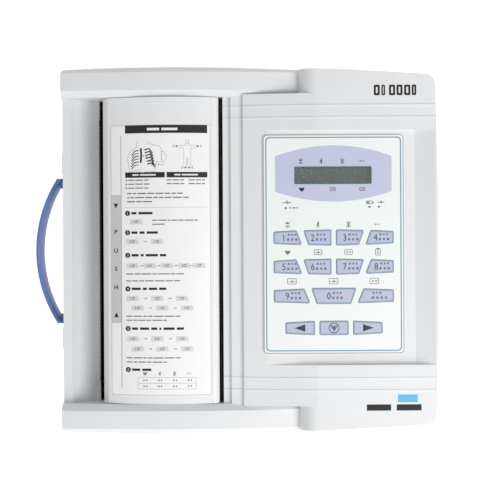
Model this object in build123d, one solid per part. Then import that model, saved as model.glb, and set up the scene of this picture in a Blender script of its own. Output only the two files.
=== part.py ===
"""Portable ECG recorder: low console with a keypad, a clamshell paper printer and a side strap handle.

Axes: +X to the operator's right, +Y to the rear, +Z up. All sizes are millimetres. The parts are drawn
about the middle of the case and moved by HANDLE_REACH / 2 when they are written, so that the origin is
under the centre of the whole object's box, on the surface it stands on.
"""
from build123d import *

import math
import os

# ---- driving dimensions: case -------------------------------------------------------------------
BODY_LENGTH = 305.0
BODY_WIDTH = 296.0
BODY_HEIGHT = 92.5
FOOT_HEIGHT = 3.0
WALL = 2.5
PARTING_Z = 40.0
HALF_LENGTH = BODY_LENGTH / 2
HALF_WIDTH = BODY_WIDTH / 2
FLOOR_Z = FOOT_HEIGHT + WALL
WIDEST_X = -HALF_LENGTH + 86.5
SIDE_RADIUS = 3125.0
RIGHT_BOW = 2.5
RIGHT_CORNER = 8.0
LEFT_CORNER = 4.0
BASE_CHAMFER = 2.5
SPARE = 5.0

# ---- paper and printer widths: each one adds to the one before -----------------------------------
ROLL_HALF_LENGTH = 105.0
ROLL_END_GAP = 4.0
FRAME_SHEET = 1.5
GEAR_SIDE_GAP = 2.5
GEAR_WIDTH = 5.0
EAR_GAP = 1.0
EAR_WIDTH = 3.5
EAR_SIDE_GAP = 1.5
COVER_SIDE_GAP = 0.5
FRAME_Y = ROLL_HALF_LENGTH + ROLL_END_GAP
GEAR_Y = FRAME_Y + FRAME_SHEET + GEAR_SIDE_GAP
EAR_Y = GEAR_Y + GEAR_WIDTH + EAR_GAP
COVER_HALF_WIDTH = EAR_Y + EAR_WIDTH + EAR_SIDE_GAP
RAIL_INNER_Y = COVER_HALF_WIDTH + COVER_SIDE_GAP
CONSOLE_HALF_WIDTH = RAIL_INNER_Y + 1.5

# ---- top surface: lengths run from the left end, heights down from the top ------------------------
STRIP_WIDTH = 7.0
STRIP_DROP = 22.5
TROUGH_SAG = (7.5, 9.5)
TROUGH_REACH = (21.5, 15.5)
BAY_LENGTH = 103.0
LOW_BAND_WIDTH = 6.0
LOW_BAND_DROP = 12.5
HIGH_BAND_WIDTH = 10.0
HIGH_BAND_DROP = 10.0
STEP_RUN = 0.6
RAMP_DROP = 7.3
PLATEAU_LENGTH = 97.5
RAIL_LEFT_DROP = 9.5
RAIL_CROWN_DROP = 2.5
RAIL_RIGHT_DROP = 13.5
RAIL_CROWN_X = -HALF_LENGTH + 90.5
RAIL_INNER_CHAMFER = (5.0, 5.5)
RAIL_OUTER_CHAMFER = (4.5, 4.5)
RAIL_SPARE = 0.5
RAIL_SKIN = 6.0
SHOULDER_LENGTH = 112.0
SHOULDER_ROUND = 15.0
SHOULDER_LAP = 4.5
BEAD_HEIGHT = 0.5
BEAD_WIDTH = 1.1
BEAD_INSETS = (9.9, 19.6, 22.5, 12.7)
STRIP_Z = BODY_HEIGHT - STRIP_DROP
STRIP_END_X = -HALF_LENGTH + STRIP_WIDTH
TROUGH_MID = (STRIP_END_X + TROUGH_SAG[0], STRIP_Z - TROUGH_SAG[1])
TROUGH_END = (STRIP_END_X + TROUGH_REACH[0], STRIP_Z - TROUGH_REACH[1])
BAY_LEFT_X = TROUGH_END[0]
BAY_RIGHT_X = BAY_LEFT_X + BAY_LENGTH
BAY_WALL_DEPTH = 6.5
BAY_WALL_LOW_Z = TROUGH_END[1] - BAY_WALL_DEPTH
LOW_BAND_Z = BODY_HEIGHT - LOW_BAND_DROP
LOW_BAND_END_X = BAY_RIGHT_X + LOW_BAND_WIDTH
HIGH_BAND_Z = BODY_HEIGHT - HIGH_BAND_DROP
HIGH_BAND_END_X = LOW_BAND_END_X + HIGH_BAND_WIDTH
RAMP_START_Z = BODY_HEIGHT - RAMP_DROP
PLATEAU_X = HALF_LENGTH - PLATEAU_LENGTH
SHOULDER_X = HALF_LENGTH - SHOULDER_LENGTH
RAIL_LEFT_Z = BODY_HEIGHT - RAIL_LEFT_DROP
RAIL_CROWN = (RAIL_CROWN_X, BODY_HEIGHT - RAIL_CROWN_DROP)
RAIL_RIGHT = (SHOULDER_X + SHOULDER_LAP, BODY_HEIGHT - RAIL_RIGHT_DROP)
REAR_INSETS = BEAD_INSETS[:2]
FRONT_INSETS = BEAD_INSETS[2:]
BEAD_YS = [CONSOLE_HALF_WIDTH - i for i in REAR_INSETS] + [i - CONSOLE_HALF_WIDTH for i in FRONT_INSETS]

# ---- keypad pan ----------------------------------------------------------------------------------
PAN_DEPTH = 5.0
PAN_FRONT_MARGIN = 9.0
PAN_REAR_MARGIN = 3.7
PAN_RIGHT_GAP = 18.3
PAN_RAMP_GAP = 2.5
PANEL_RIGHT_GAP = 84.2
PANEL_Y = 4.5
PANEL_SIZE = (113.4, 176.8)
PANEL_CORNER = 4.0
PANEL_THICKNESS = 0.8
PAN_FLOOR_Z = BODY_HEIGHT - PAN_DEPTH
PANEL_CENTRE = (HALF_LENGTH - PANEL_RIGHT_GAP, PANEL_Y)
PAN_FRONT_Y = PANEL_Y - PANEL_SIZE[1] / 2 - PAN_FRONT_MARGIN
PAN_REAR_Y = PANEL_Y + PANEL_SIZE[1] / 2 + PAN_REAR_MARGIN
PAN_RIGHT_X = HALF_LENGTH - PAN_RIGHT_GAP
PAN_RAMP_X = HALF_LENGTH - PAN_RAMP_GAP
PANEL_TOP_Z = PAN_FLOOR_Z + PANEL_THICKNESS

# ---- keys: half sizes measured from the middle of the panel --------------------------------------
KEY_PROUD = 0.5
KEY_TRAVEL = 0.5
KEY_GAP = 0.3
KEY_FLANGE = 0.9
KEY_FLANGE_HEIGHT = 1.1
KEY_FREE_GAP = 0.3
KEY_CORNER = 1.0
ROW_OFFSETS = (5.2, -18.3, -41.9, -67.7)
ROW_YS = [PANEL_Y + offset_y for offset_y in ROW_OFFSETS]
KEY_OUTER_X = 48.2
KEY_OUTER_HALF = 4.7
KEY_MIDDLE_HALF = 5.7
KEY_INNER_HALF = 6.2
OUTER_KEY_TOP_X = 30.2
OUTER_KEY_LOW_X = 25.7
INNER_KEY_TOP_X = 24.2
INNER_KEY_LOW_X = 20.3
INNER_KEY_X = 2.1
WIDE_KEY_TOP_X = 24.0
WIDE_KEY_LOW_X = 19.3
ZERO_TOP_X = 18.0
ZERO_LOW_X = 13.7
STOP_HALF = (11.5, 5.5)
ARROW_INNER_X = 15.6
ARROW_OUTER_X = 38.9
ARROW_OUTER_HALF = 4.3

# ---- display and boards --------------------------------------------------------------------------
DISPLAY_OFFSET = (-0.3, 55.5)
DISPLAY_CENTRE = (PANEL_CENTRE[0] + DISPLAY_OFFSET[0], PANEL_CENTRE[1] + DISPLAY_OFFSET[1])
WINDOW_SIZE = (62.4, 14.2)
WINDOW_CORNER = 1.0
WINDOW_DROP = 0.4
GLASS_LAP = 1.05
GLASS_THICKNESS = 3.5
GLASS_GAP = 0.5
GLASS_SIZE = (WINDOW_SIZE[0] + 2 * GLASS_LAP, WINDOW_SIZE[1] + 2 * GLASS_LAP)
BEZEL_BORDER = (3.25, 4.8)
BEZEL_SIZE = (GLASS_SIZE[0] + 2 * BEZEL_BORDER[0], GLASS_SIZE[1] + 2 * BEZEL_BORDER[1])
BEZEL_FLOOR = 2.0
BEZEL_HEIGHT = BEZEL_FLOOR + GLASS_THICKNESS + GLASS_GAP
BOARD_THICKNESS = 1.6
SKIN_UNDER_Z = PAN_FLOOR_Z - WALL
DOME_HEIGHT = 0.8
DOME_RADIUS = 4.0
DOME_GAP = 0.3
KEY_LOW_Z = SKIN_UNDER_Z - KEY_FREE_GAP - KEY_FLANGE_HEIGHT
KEY_BOARD_TOP_Z = KEY_LOW_Z - KEY_TRAVEL - DOME_GAP - DOME_HEIGHT
KEY_BOARD_SIZE = (108.0, 98.0)
KEY_BOARD_OFFSET = -32.0
LED_RADIUS = 0.9
LED_GAP = 0.05
LED_PROUD = 0.1
LED_PLACES = ((-38.5, 29.2), (29.1, 29.8), (36.7, 29.9))
MAIN_BOARD_Z = FLOOR_Z + 6.5
MAIN_BOARD_SIZE = (130.0, 92.0)
MAIN_BOARD_CENTRE = (HALF_LENGTH - 87.5, 5.0)
BOARD_POST_RADIUS = 3.0
BOARD_POST_SPREAD = (59.0, 40.0)
BOARD_PARTS = ((-45, 15, 20, 20, 2), (-15, 25, 14, 14, 2), (20, 5, 10, 16, 3), (-45, -30, 26, 8, 9),
               (-5, -25, 16, 12, 6), (40, 25, 12, 12, 12))
SUPPLY_X = (-HALF_LENGTH + 140.5, -HALF_LENGTH + 204.5)
SUPPLY_Y = (62.0, 112.0)
SUPPLY_Z = (FLOOR_Z + 2.5, PARTING_Z - 2.0)
HATCH_CENTRE = (HALF_LENGTH - 82.5, -95.0)
HATCH_SIZE = (96.0, 56.0)
HATCH_GAP = 0.3
BATTERY_MARGIN = 4.0
BATTERY_Z = (FLOOR_Z + 2.5, FLOOR_Z + 24.5)
BUZZER_RADIUS = 7.0
BUZZER_OFFSET = (60.0, -25.0)
BUZZER_HEIGHT = 7.0

# ---- cover and its hinge -------------------------------------------------------------------------
COVER_WALL = 2.5
RUNNING_CLEARANCE = 0.05
EXIT_GAP = 5.0
COVER_LOW_DROP = 24.5
COVER_LIP = 4.5
COVER_BEVEL = (4.4, 6.5)
COVER_CROWN_OFFSET = (63.0, 4.5)
HINGE_GAP = 3.4
HINGE_DROP = 14.5
HINGE_ROUND = 6.0
HINGE_PIN_RADIUS = 2.0
KNUCKLE_LENGTH = 6.0
PIN_BOSS_RADIUS = 4.0
PIN_BOSS_LENGTH = 7.0
PIN_HIDDEN = 6.5
COVER_LEFT_X = BAY_LEFT_X + EXIT_GAP
COVER_LOW_Z = BODY_HEIGHT - COVER_LOW_DROP
COVER_LIP_TOP_Z = COVER_LOW_Z + COVER_LIP
COVER_BEVEL_TOP = (COVER_LEFT_X + COVER_BEVEL[0], COVER_LIP_TOP_Z + COVER_BEVEL[1])
COVER_CROWN = (COVER_LEFT_X + COVER_CROWN_OFFSET[0], BODY_HEIGHT - COVER_CROWN_OFFSET[1])
HINGE_X = BAY_RIGHT_X - HINGE_GAP - HINGE_ROUND
HINGE_Z = BODY_HEIGHT - HINGE_DROP

# ---- printer -------------------------------------------------------------------------------------
PLATEN_INSET = 15.0
PLATEN_DROP = 32.5
PLATEN_X = BAY_LEFT_X + PLATEN_INSET
PLATEN_Z = BODY_HEIGHT - PLATEN_DROP
PLATEN_RADIUS = 8.0
PLATEN_END_GAP = 2.0
PLATEN_HALF_LENGTH = FRAME_Y - PLATEN_END_GAP
SHAFT_RADIUS = 3.0
SHAFT_HALF_LENGTH = EAR_Y + EAR_WIDTH - 0.5
BUSH_RADIUS = 4.6
HEAD_GAP = 0.2
HEAD_HALF_LENGTH = FRAME_Y - 1.5
HEAD_THICKNESS = 1.2
HEAD_ALONG = (-9.0, 3.0)
BRACKET_THICKNESS = 3.0
BRACKET_ALONG = (-15.0, 3.0)
CONTACT_X = PLATEN_X - (PLATEN_RADIUS + HEAD_GAP) * math.sqrt(0.5)
CONTACT_Z = PLATEN_Z - (PLATEN_RADIUS + HEAD_GAP) * math.sqrt(0.5)
PIVOT_X = CONTACT_X + 11.298
PIVOT_Z = CONTACT_Z - 10.202
PIVOT_RADIUS = 1.5
PIVOT_TUBE_RADIUS = 3.2
PIVOT_TUBE_LENGTH = 10.0
FRAME_LEFT_X = PLATEN_X - 11.0
FRAME_RIGHT_X = PLATEN_X + 57.0
FRAME_TOP_Z = PLATEN_Z + 3.0
FRAME_TOP_X = (PLATEN_X - 9.0, PLATEN_X + 9.0)
FRAME_BEND_X = PLATEN_X + 17.0
FRAME_BASE_X = (FRAME_LEFT_X, PLATEN_X + 21.0)
NOTCH_GAP = 0.6
NOTCH_DEPTH = 20.0
NOTCH_LEAN = 12.6
SHEET_CUT = 1.0
MOTOR_BOSS_RADIUS = 5.0
MOTOR_OFFSET = (5.0, -36.0)
MOTOR_X = PLATEN_X + MOTOR_OFFSET[0]
MOTOR_Z = PLATEN_Z + MOTOR_OFFSET[1]
MOTOR_RADIUS = 14.0
MOTOR_LENGTH = 19.0
MODULE = 0.8
PLATEN_TEETH = 22
IDLER_TEETH = 34
PINION_TEETH = 10
CENTRE_CLEARANCE = 0.1
BACKLASH = 0.16
MOTOR_SHAFT_RADIUS = 1.0
IDLER_AXLE_RADIUS = 2.0
ROLL_X = PLATEN_X + 49.0
ROLL_Z = PLATEN_Z - 18.0
ROLL_RADIUS = 24.0
SPINDLE_RADIUS = 8.0
SPINDLE_END_RADIUS = 3.0
SPINDLE_SIDE_GAP = 1.0
SPINDLE_END_LENGTH = 3.0
TRAY_SHEET = 2.0
TRAY_GAP = 1.0
SLOT_GAP = 0.3
TRAY_DROP = 30.0
TRAY_LOW_Z = ROLL_Z - TRAY_DROP
TRAY_LEFT_X = ROLL_X - 26.0
TRAY_TOP_Z = ROLL_Z + 26.0
TEAR_GAP = 0.2
TEAR_PITCH = 3.0
TEAR_TOOTH = 1.0
TEAR_SHEET = 1.0
TEAR_LOW_Z = PLATEN_Z - 20.0
TEAR_TOP_Z = PLATEN_Z - 1.0
LATCH_X = PLATEN_X + 12.0
LATCH_Y = -GEAR_Y - 3.0
LATCH_TOP_Z = PLATEN_Z - 2.0
LATCH_LOW_Z = FLOOR_Z + 10.5
LATCH_HALF = (6.0, 5.0)
LATCH_SINK = 4.0
PLUNGER_RADIUS = 3.0
PLUNGER_LENGTH = 14.0
SPRING_LENGTH = 18.0
SPRING_RADIUS = 2.2
SPRING_WIRE = 0.3
SPRING_TURNS = 7
PLUNGER_LOW_Z = LATCH_TOP_Z - PLUNGER_LENGTH
SPRING_LOW_Z = PLUNGER_LOW_Z - SPRING_LENGTH
STRIKER_GAP = 0.3
STRIKER_HALF = 3.0
STRIKER_POST = 1.0
STRIKER_FOOT = 1.5

# ---- handle --------------------------------------------------------------------------------------
HANDLE_REACH = 24.5
HANDLE_HALF = 56.5
HANDLE_THICKNESS = 3.6
HANDLE_LOW_Z = 33.0
HANDLE_TOP_Z = 57.0
HANDLE_END_GAP = 3.0
HANDLE_END_TAPER = 0.8
TONGUE_WIDTH = 8.0
TONGUE_INSET = 4.0
TONGUE_CLEARANCE = 0.15
TONGUE_END = 6.0
HANDLE_PIN_RADIUS = 1.5
HANDLE_PIN_INSET = 2.0
POCKET_HALF = HANDLE_HALF + 4.0
POCKET_DEPTH = 8.0
POCKET_LOW_Z = 20.0
POCKET_TOP_Z = 62.0
LUG_ENDS = (POCKET_HALF + 2.0, POCKET_HALF + 21.0)
LUG_PROUD = 1.8

# ---- connectors and fasteners --------------------------------------------------------------------
SOCKET_Z = 24.0
INLET_X = HALF_LENGTH - 56.5
INLET_HALF = (14.0, 10.0)
INLET_RIM = 2.0
INLET_DEPTH = 22.0
INLET_CAVITY = 17.0
INLET_SINK = 0.2
BLADE_HALF = (1.0, 2.0)
BLADE_LENGTH = 12.0
BLADE_PLACES = ((-7, -2), (0, 2), (7, -2))
ROCKER_X = INLET_X - 30.0
ROCKER_TRAVEL = 20.0
ROCKER_BODY = (6.5, 9.7)
ROCKER_CAVITY = (5.0, 8.2)
ROCKER_DEPTH = 20.0
ROCKER_CAVITY_DEPTH = 12.0
ROCKER_SINK = 0.3
ROCKER_PIVOT_DEPTH = 6.0
ROCKER_SIDE_GAP = 0.3
ROCKER_FACE = ((-3.5, -5.5), (4.6, -6.9), (3.8, 0), (4.6, 6.9), (-3.5, 5.5))
TRUNNION_RADIUS = 1.2
TRUNNION_HALF = ROCKER_CAVITY[0] + 0.8
SERIAL_X = INLET_X - 76.0
SERIAL_HALF = 10.0
SHELL_HALF_HEIGHT = 5.5
SHELL_RIM = 1.5
SHELL_SINK = 1.2
SERIAL_DEPTH = 12.0
SERIAL_CAVITY = 6.0
PATIENT_Y = 70.0
PATIENT_HALF = 13.5
PATIENT_DEPTH = 14.0
PATIENT_CAVITY = 10.0
CONTACT_PITCH = 2.77
CONTACT_RADIUS = 0.5
CONTACT_LENGTH = 4.5
CONTACT_ROWS = ((1.4, 8), (-1.4, 7))
STUD_X = HALF_LENGTH - 27.5
STUD_RADIUS = 3.0
STUD_SINK = 0.3
STUD_LENGTH = 13.7
STUD_BORE = (1.2, 3.0)
NUT_RADIUS = 5.0
NUT_SPAN = (6.5, 3.2)
SCREW_INSETS = ((14.5, 12.0), (142.5, 11.0), (290.5, 18.0))
SCREW_PLACES = [(dx - HALF_LENGTH, HALF_WIDTH - dy) for dx, dy in SCREW_INSETS]
SCREW_RADIUS = 1.5
SCREW_HEAD_RADIUS = 2.8
SCREW_HEAD_HEIGHT = 2.5
SCREW_HOLE_GAP = 0.2
SCREW_HEAD_GAP = 0.4
SCREW_SINK = 9.0
SCREW_BITE = 10.0
SCREW_TIP_GAP = 2.0
BOSS_RADIUS = 4.0
BOSS_TOP_Z = BODY_HEIGHT - 10.0
HATCH_SCREW_INSET = 5.0
HATCH_SCREW_HEAD = 1.5
HATCH_SCREW_LENGTH = 3.0
FOOT_INSETS = (24.5, 30.0)
FOOT_PLACES = [(s * (HALF_LENGTH - FOOT_INSETS[0]), HALF_WIDTH - FOOT_INSETS[1]) for s in (-1, 1)]
FOOT_RADIUS = 9.0
FOOT_STEM_RADIUS = 2.95
FOOT_STEM_GAP = 0.05
FOOT_STEM_TOP_Z = FLOOR_Z + 2.5


def save(name, shape):
    """Write one sub-part, moved so that the whole object's box is centred on the origin."""
    export_step(Pos(HANDLE_REACH / 2, 0, 0) * shape, f"parts/{name}.step")


def polygon(*points):
    """Closed face through the points, in the XY plane."""
    return make_face(Polyline(*points, close=True))


def prism_y(profile, y0, y1):
    """Extrude an (x, z) profile from y0 to y1."""
    return Pos(0, y1, 0) * extrude(Plane.XZ * profile, amount=y1 - y0)


def prism_x(profile, x0, x1):
    """Extrude a (y, z) profile from x0 to x1."""
    return Pos(x0, 0, 0) * extrude(Plane.YZ * profile, amount=x1 - x0)


def prism_z(profile, z0, z1):
    """Extrude an (x, y) profile from z0 to z1."""
    return Pos(0, 0, z0) * extrude(profile, amount=z1 - z0)


def block(x0, x1, y0, y1, z0, z1):
    """Box between two corners."""
    size = (x1 - x0, y1 - y0, z1 - z0)
    return Pos((x0 + x1) / 2, (y0 + y1) / 2, (z0 + z1) / 2) * Box(*size)


def rod_y(x, z, radius, y0, y1):
    """Cylinder along Y."""
    return Pos(0, y1, 0) * extrude(Plane.XZ * Pos(x, z) * Circle(radius), amount=y1 - y0)


def rod_z(x, y, radius, z0, z1):
    """Cylinder along Z."""
    return Pos(x, y, z0) * extrude(Circle(radius), amount=z1 - z0)


def both_ends(shape):
    """The shape and its mirror image across the XZ plane."""
    return shape + mirror(shape, Plane.XZ)


def group(shapes):
    """Separate solids kept in one sub-part."""
    solids = []
    for shape in shapes:
        solids.extend(shape.solids())
    return Compound(solids)


# ---- case ----------------------------------------------------------------------------------------
def side_y(x):
    """Half width of the case at x; each side is one long arc."""
    return HALF_WIDTH - SIDE_RADIUS + math.sqrt(SIDE_RADIUS ** 2 - (x - WIDEST_X) ** 2)


def plan_outline(inset=0.0):
    """Barrel-shaped outline of the case seen from above, drawn inwards by inset."""
    left = -HALF_LENGTH
    right = HALF_LENGTH - RIGHT_BOW
    left_y = side_y(left)
    right_y = side_y(right)
    rear = ThreePointArc((left, left_y), (WIDEST_X, HALF_WIDTH), (right, right_y))
    end = ThreePointArc((right, right_y), (HALF_LENGTH, 0), (right, -right_y))
    front = ThreePointArc((right, -right_y), (WIDEST_X, -HALF_WIDTH), (left, -left_y))
    outline = make_face([rear, end, front, Line((left, -left_y), (left, left_y))])
    outline = fillet(outline.vertices().sort_by(Axis.X)[2:], RIGHT_CORNER)
    outline = fillet(outline.vertices().sort_by(Axis.X)[:2], LEFT_CORNER)
    if inset:
        outline = offset(outline, amount=-inset, kind=Kind.INTERSECTION)
    return outline


def centre_profile():
    """Outer (x, z) outline between the rails: strip, trough, bands, ramp and plateau."""
    trough = ThreePointArc((STRIP_END_X, STRIP_Z), TROUGH_MID, TROUGH_END)
    rest = Polyline(
        TROUGH_END, (BAY_RIGHT_X, TROUGH_END[1]), (BAY_RIGHT_X, LOW_BAND_Z), (LOW_BAND_END_X, LOW_BAND_Z),
        (LOW_BAND_END_X + STEP_RUN, HIGH_BAND_Z), (HIGH_BAND_END_X, HIGH_BAND_Z),
        (HIGH_BAND_END_X + STEP_RUN, RAMP_START_Z), (PLATEAU_X, BODY_HEIGHT), (HALF_LENGTH, BODY_HEIGHT),
        (HALF_LENGTH, FOOT_HEIGHT), (-HALF_LENGTH, FOOT_HEIGHT), (-HALF_LENGTH, STRIP_Z),
        (STRIP_END_X, STRIP_Z))
    return make_face([trough, *rest.edges()])


def centre_hollow_profile():
    """Inner (x, z) outline between the rails, one wall inside the outer one."""
    trough_start = (STRIP_END_X - WALL, STRIP_Z - WALL)
    trough_end = (TROUGH_END[0] - WALL, TROUGH_END[1] - WALL)
    trough_mid = (TROUGH_MID[0] - WALL, TROUGH_MID[1] - WALL)
    trough = ThreePointArc(trough_start, trough_mid, trough_end)
    wall_x = BAY_RIGHT_X + WALL
    rest = Polyline(
        trough_end, (trough_end[0], BAY_WALL_LOW_Z), (wall_x, BAY_WALL_LOW_Z),
        (wall_x, LOW_BAND_Z - WALL), (LOW_BAND_END_X + WALL, LOW_BAND_Z - WALL),
        (LOW_BAND_END_X + WALL, HIGH_BAND_Z - WALL), (HIGH_BAND_END_X + WALL, HIGH_BAND_Z - WALL),
        (HIGH_BAND_END_X + WALL, RAMP_START_Z - WALL), (PLATEAU_X, BODY_HEIGHT - WALL),
        (HALF_LENGTH, BODY_HEIGHT - WALL), (HALF_LENGTH, FLOOR_Z), (-HALF_LENGTH, FLOOR_Z),
        (-HALF_LENGTH, STRIP_Z - WALL), trough_start)
    return make_face([trough, *rest.edges()])


def rail(drop=0.0, inner_y=RAIL_INNER_Y):
    """Raised rail along one side of the paper bay; its crest is one long arc."""
    crest = ThreePointArc((-HALF_LENGTH, RAIL_LEFT_Z - drop), (RAIL_CROWN[0], RAIL_CROWN[1] - drop),
                          (RAIL_RIGHT[0], RAIL_RIGHT[1] - drop))
    rest = Polyline((RAIL_RIGHT[0], RAIL_RIGHT[1] - drop), (RAIL_RIGHT[0], FOOT_HEIGHT),
                    (-HALF_LENGTH, FOOT_HEIGHT), (-HALF_LENGTH, RAIL_LEFT_Z - drop))
    shape = prism_y(make_face([crest, *rest.edges()]), inner_y, HALF_WIDTH + RAIL_SPARE)
    if drop:
        return shape
    arcs = shape.edges().filter_by(GeomType.CIRCLE).sort_by(Axis.Y)
    shape = chamfer(arcs[0], RAIL_INNER_CHAMFER[0], RAIL_INNER_CHAMFER[1])
    arcs = shape.edges().filter_by(GeomType.CIRCLE).sort_by(Axis.Y)
    return chamfer(arcs[-1], *RAIL_OUTER_CHAMFER)


def shoulder(inset=0.0, inner_y=RAIL_INNER_Y):
    """Raised block at the console's end, with a quarter-round edge over the rail."""
    low_x = SHOULDER_X + inset
    centre = (SHOULDER_X + SHOULDER_ROUND, BODY_HEIGHT - SHOULDER_ROUND)
    radius = SHOULDER_ROUND - inset
    diagonal = radius * math.sqrt(0.5)
    quarter = ThreePointArc((low_x, centre[1]), (centre[0] - diagonal, centre[1] + diagonal),
                            (centre[0], BODY_HEIGHT - inset))
    rest = Polyline((centre[0], BODY_HEIGHT - inset), (HALF_LENGTH, BODY_HEIGHT - inset),
                    (HALF_LENGTH, FOOT_HEIGHT), (low_x, FOOT_HEIGHT), (low_x, centre[1]))
    return prism_y(make_face([quarter, *rest.edges()]), inner_y, HALF_WIDTH + RAIL_SPARE)


def outer_body():
    """Whole case as one solid, before it is hollowed and parted."""
    centre = prism_y(centre_profile(), -CONSOLE_HALF_WIDTH, CONSOLE_HALF_WIDTH)
    body = centre + both_ends(rail()) + both_ends(shoulder())
    for bead_y in BEAD_YS:
        ribbon = block(BAY_RIGHT_X, HALF_LENGTH, bead_y - BEAD_WIDTH / 2, bead_y + BEAD_WIDTH / 2,
                       BAY_WALL_LOW_Z, BODY_HEIGHT + BEAD_HEIGHT)
        body += Pos(0, 0, BEAD_HEIGHT) * centre & ribbon
    plan = prism_z(plan_outline(), FOOT_HEIGHT, BODY_HEIGHT + BEAD_HEIGHT)
    plan = chamfer(plan.faces().sort_by(Axis.Z)[0].edges(), BASE_CHAMFER)
    return body & plan


def hollow():
    """Space inside the case, one wall in from its outside."""
    hollow_y = RAIL_INNER_Y + WALL
    space = prism_y(centre_hollow_profile(), -CONSOLE_HALF_WIDTH + WALL, CONSOLE_HALF_WIDTH - WALL)
    space += both_ends(rail(RAIL_SKIN, hollow_y)) + both_ends(shoulder(WALL, hollow_y))
    space += block(-HALF_LENGTH, HALF_LENGTH, -HALF_WIDTH, HALF_WIDTH, FLOOR_Z, BAY_WALL_LOW_Z)
    space += block(BAY_RIGHT_X + WALL, HALF_LENGTH, -HALF_WIDTH, HALF_WIDTH, FLOOR_Z, LOW_BAND_Z - RAIL_SKIN)
    space &= prism_z(plan_outline(WALL), FLOOR_Z, BODY_HEIGHT)
    space -= block(HIGH_BAND_END_X + SPARE, HALF_LENGTH, PAN_FRONT_Y - WALL, PAN_REAR_Y + WALL,
                   SKIN_UNDER_Z, BODY_HEIGHT)
    space -= block(-HALF_LENGTH, -HALF_LENGTH + POCKET_DEPTH + WALL, -POCKET_HALF - WALL,
                   POCKET_HALF + WALL, POCKET_LOW_Z - WALL, POCKET_TOP_Z + WALL)
    return space


def pan():
    """Sunken keypad area with a ramped right end."""
    top = BODY_HEIGHT + 2 * BEAD_HEIGHT
    left = HIGH_BAND_END_X + SPARE
    profile = polygon((left, PAN_FLOOR_Z), (PAN_RIGHT_X, PAN_FLOOR_Z), (PAN_RAMP_X, BODY_HEIGHT),
                      (PAN_RAMP_X, top), (left, top))
    return prism_y(profile, PAN_FRONT_Y, PAN_REAR_Y)


def bosses(radius, z0, z1):
    """One post round each case screw."""
    posts = []
    for x, y in SCREW_PLACES:
        posts += [rod_z(x, y, radius, z0, z1), rod_z(x, -y, radius, z0, z1)]
    return posts


def case_shell():
    """Hollow case with the paper bay, keypad pan, handle pocket, lugs and connector cut-outs."""
    shell = outer_body() - pan()
    for side in (-1, 1):
        ends = sorted((side * LUG_ENDS[0], side * LUG_ENDS[1]))
        lug = block(-HALF_LENGTH - LUG_PROUD, -HALF_LENGTH + WALL, *ends, POCKET_LOW_Z, POCKET_TOP_Z)
        shell += chamfer(lug.faces().sort_by(Axis.X)[0].edges(), LUG_PROUD / 2)
    shell -= hollow()
    shell -= block(BAY_LEFT_X, BAY_RIGHT_X, -RAIL_INNER_Y, RAIL_INNER_Y, BAY_WALL_LOW_Z - 1,
                   BODY_HEIGHT + SPARE)
    shell -= block(-HALF_LENGTH - 1, -HALF_LENGTH + POCKET_DEPTH, -POCKET_HALF, POCKET_HALF,
                   POCKET_LOW_Z, POCKET_TOP_Z)
    shell -= both_ends(tongue(TONGUE_CLEARANCE))
    for cutter in connector_cutters():
        shell -= cutter
    return shell


# ---- keys ----------------------------------------------------------------------------------------
def outer_key(side):
    """Corner points of the end key of a four-key row; side is -1 on the left and 1 on the right."""
    return [(side * KEY_OUTER_X, KEY_OUTER_HALF), (side * OUTER_KEY_TOP_X, KEY_MIDDLE_HALF),
            (side * OUTER_KEY_LOW_X, -KEY_MIDDLE_HALF), (side * KEY_OUTER_X, -KEY_OUTER_HALF)]


def inner_key(side):
    """Corner points of a middle key of a four-key row."""
    return [(side * INNER_KEY_TOP_X, KEY_MIDDLE_HALF), (side * INNER_KEY_X, KEY_INNER_HALF),
            (side * INNER_KEY_X, -KEY_INNER_HALF), (side * INNER_KEY_LOW_X, -KEY_MIDDLE_HALF)]


def wide_key(side):
    """Corner points of an end key of the three-key row."""
    return [(side * KEY_OUTER_X, KEY_OUTER_HALF), (side * WIDE_KEY_TOP_X, KEY_MIDDLE_HALF),
            (side * WIDE_KEY_LOW_X, -KEY_MIDDLE_HALF), (side * KEY_OUTER_X, -KEY_OUTER_HALF)]


def arrow_key(side):
    """Corner points of a key beside the stop key."""
    return [(side * ARROW_INNER_X, STOP_HALF[1]), (side * ARROW_OUTER_X, ARROW_OUTER_HALF),
            (side * ARROW_OUTER_X, -ARROW_OUTER_HALF), (side * ARROW_INNER_X, -STOP_HALF[1])]


ZERO_KEY = [(-ZERO_TOP_X, KEY_INNER_HALF), (ZERO_TOP_X, KEY_INNER_HALF),
            (ZERO_LOW_X, -KEY_INNER_HALF), (-ZERO_LOW_X, -KEY_INNER_HALF)]
STOP_KEY = [(-STOP_HALF[0], STOP_HALF[1]), (STOP_HALF[0], STOP_HALF[1]),
            (STOP_HALF[0], -STOP_HALF[1]), (-STOP_HALF[0], -STOP_HALF[1])]
FOUR_KEYS = [outer_key(-1), inner_key(-1), inner_key(1), outer_key(1)]
KEYS = {f"key_{number + 1}": (FOUR_KEYS[number % 4], number // 4) for number in range(8)}
KEYS["key_9"] = (wide_key(-1), 2)
KEYS["key_0"] = (ZERO_KEY, 2)
KEYS["key_escape"] = (wide_key(1), 2)
KEYS["key_left"] = (arrow_key(-1), 3)
KEYS["key_stop"] = (STOP_KEY, 3)
KEYS["key_right"] = (arrow_key(1), 3)


def key_outline(name, grow=0.0):
    """Rounded outline of a key in its place on the panel, drawn outwards by grow."""
    points, row = KEYS[name]
    outline = polygon(*points)
    outline = fillet(outline.vertices(), KEY_CORNER)
    if grow:
        outline = offset(outline, amount=grow, kind=Kind.ARC)
    return Pos(PANEL_CENTRE[0], ROW_YS[row]) * outline


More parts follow.
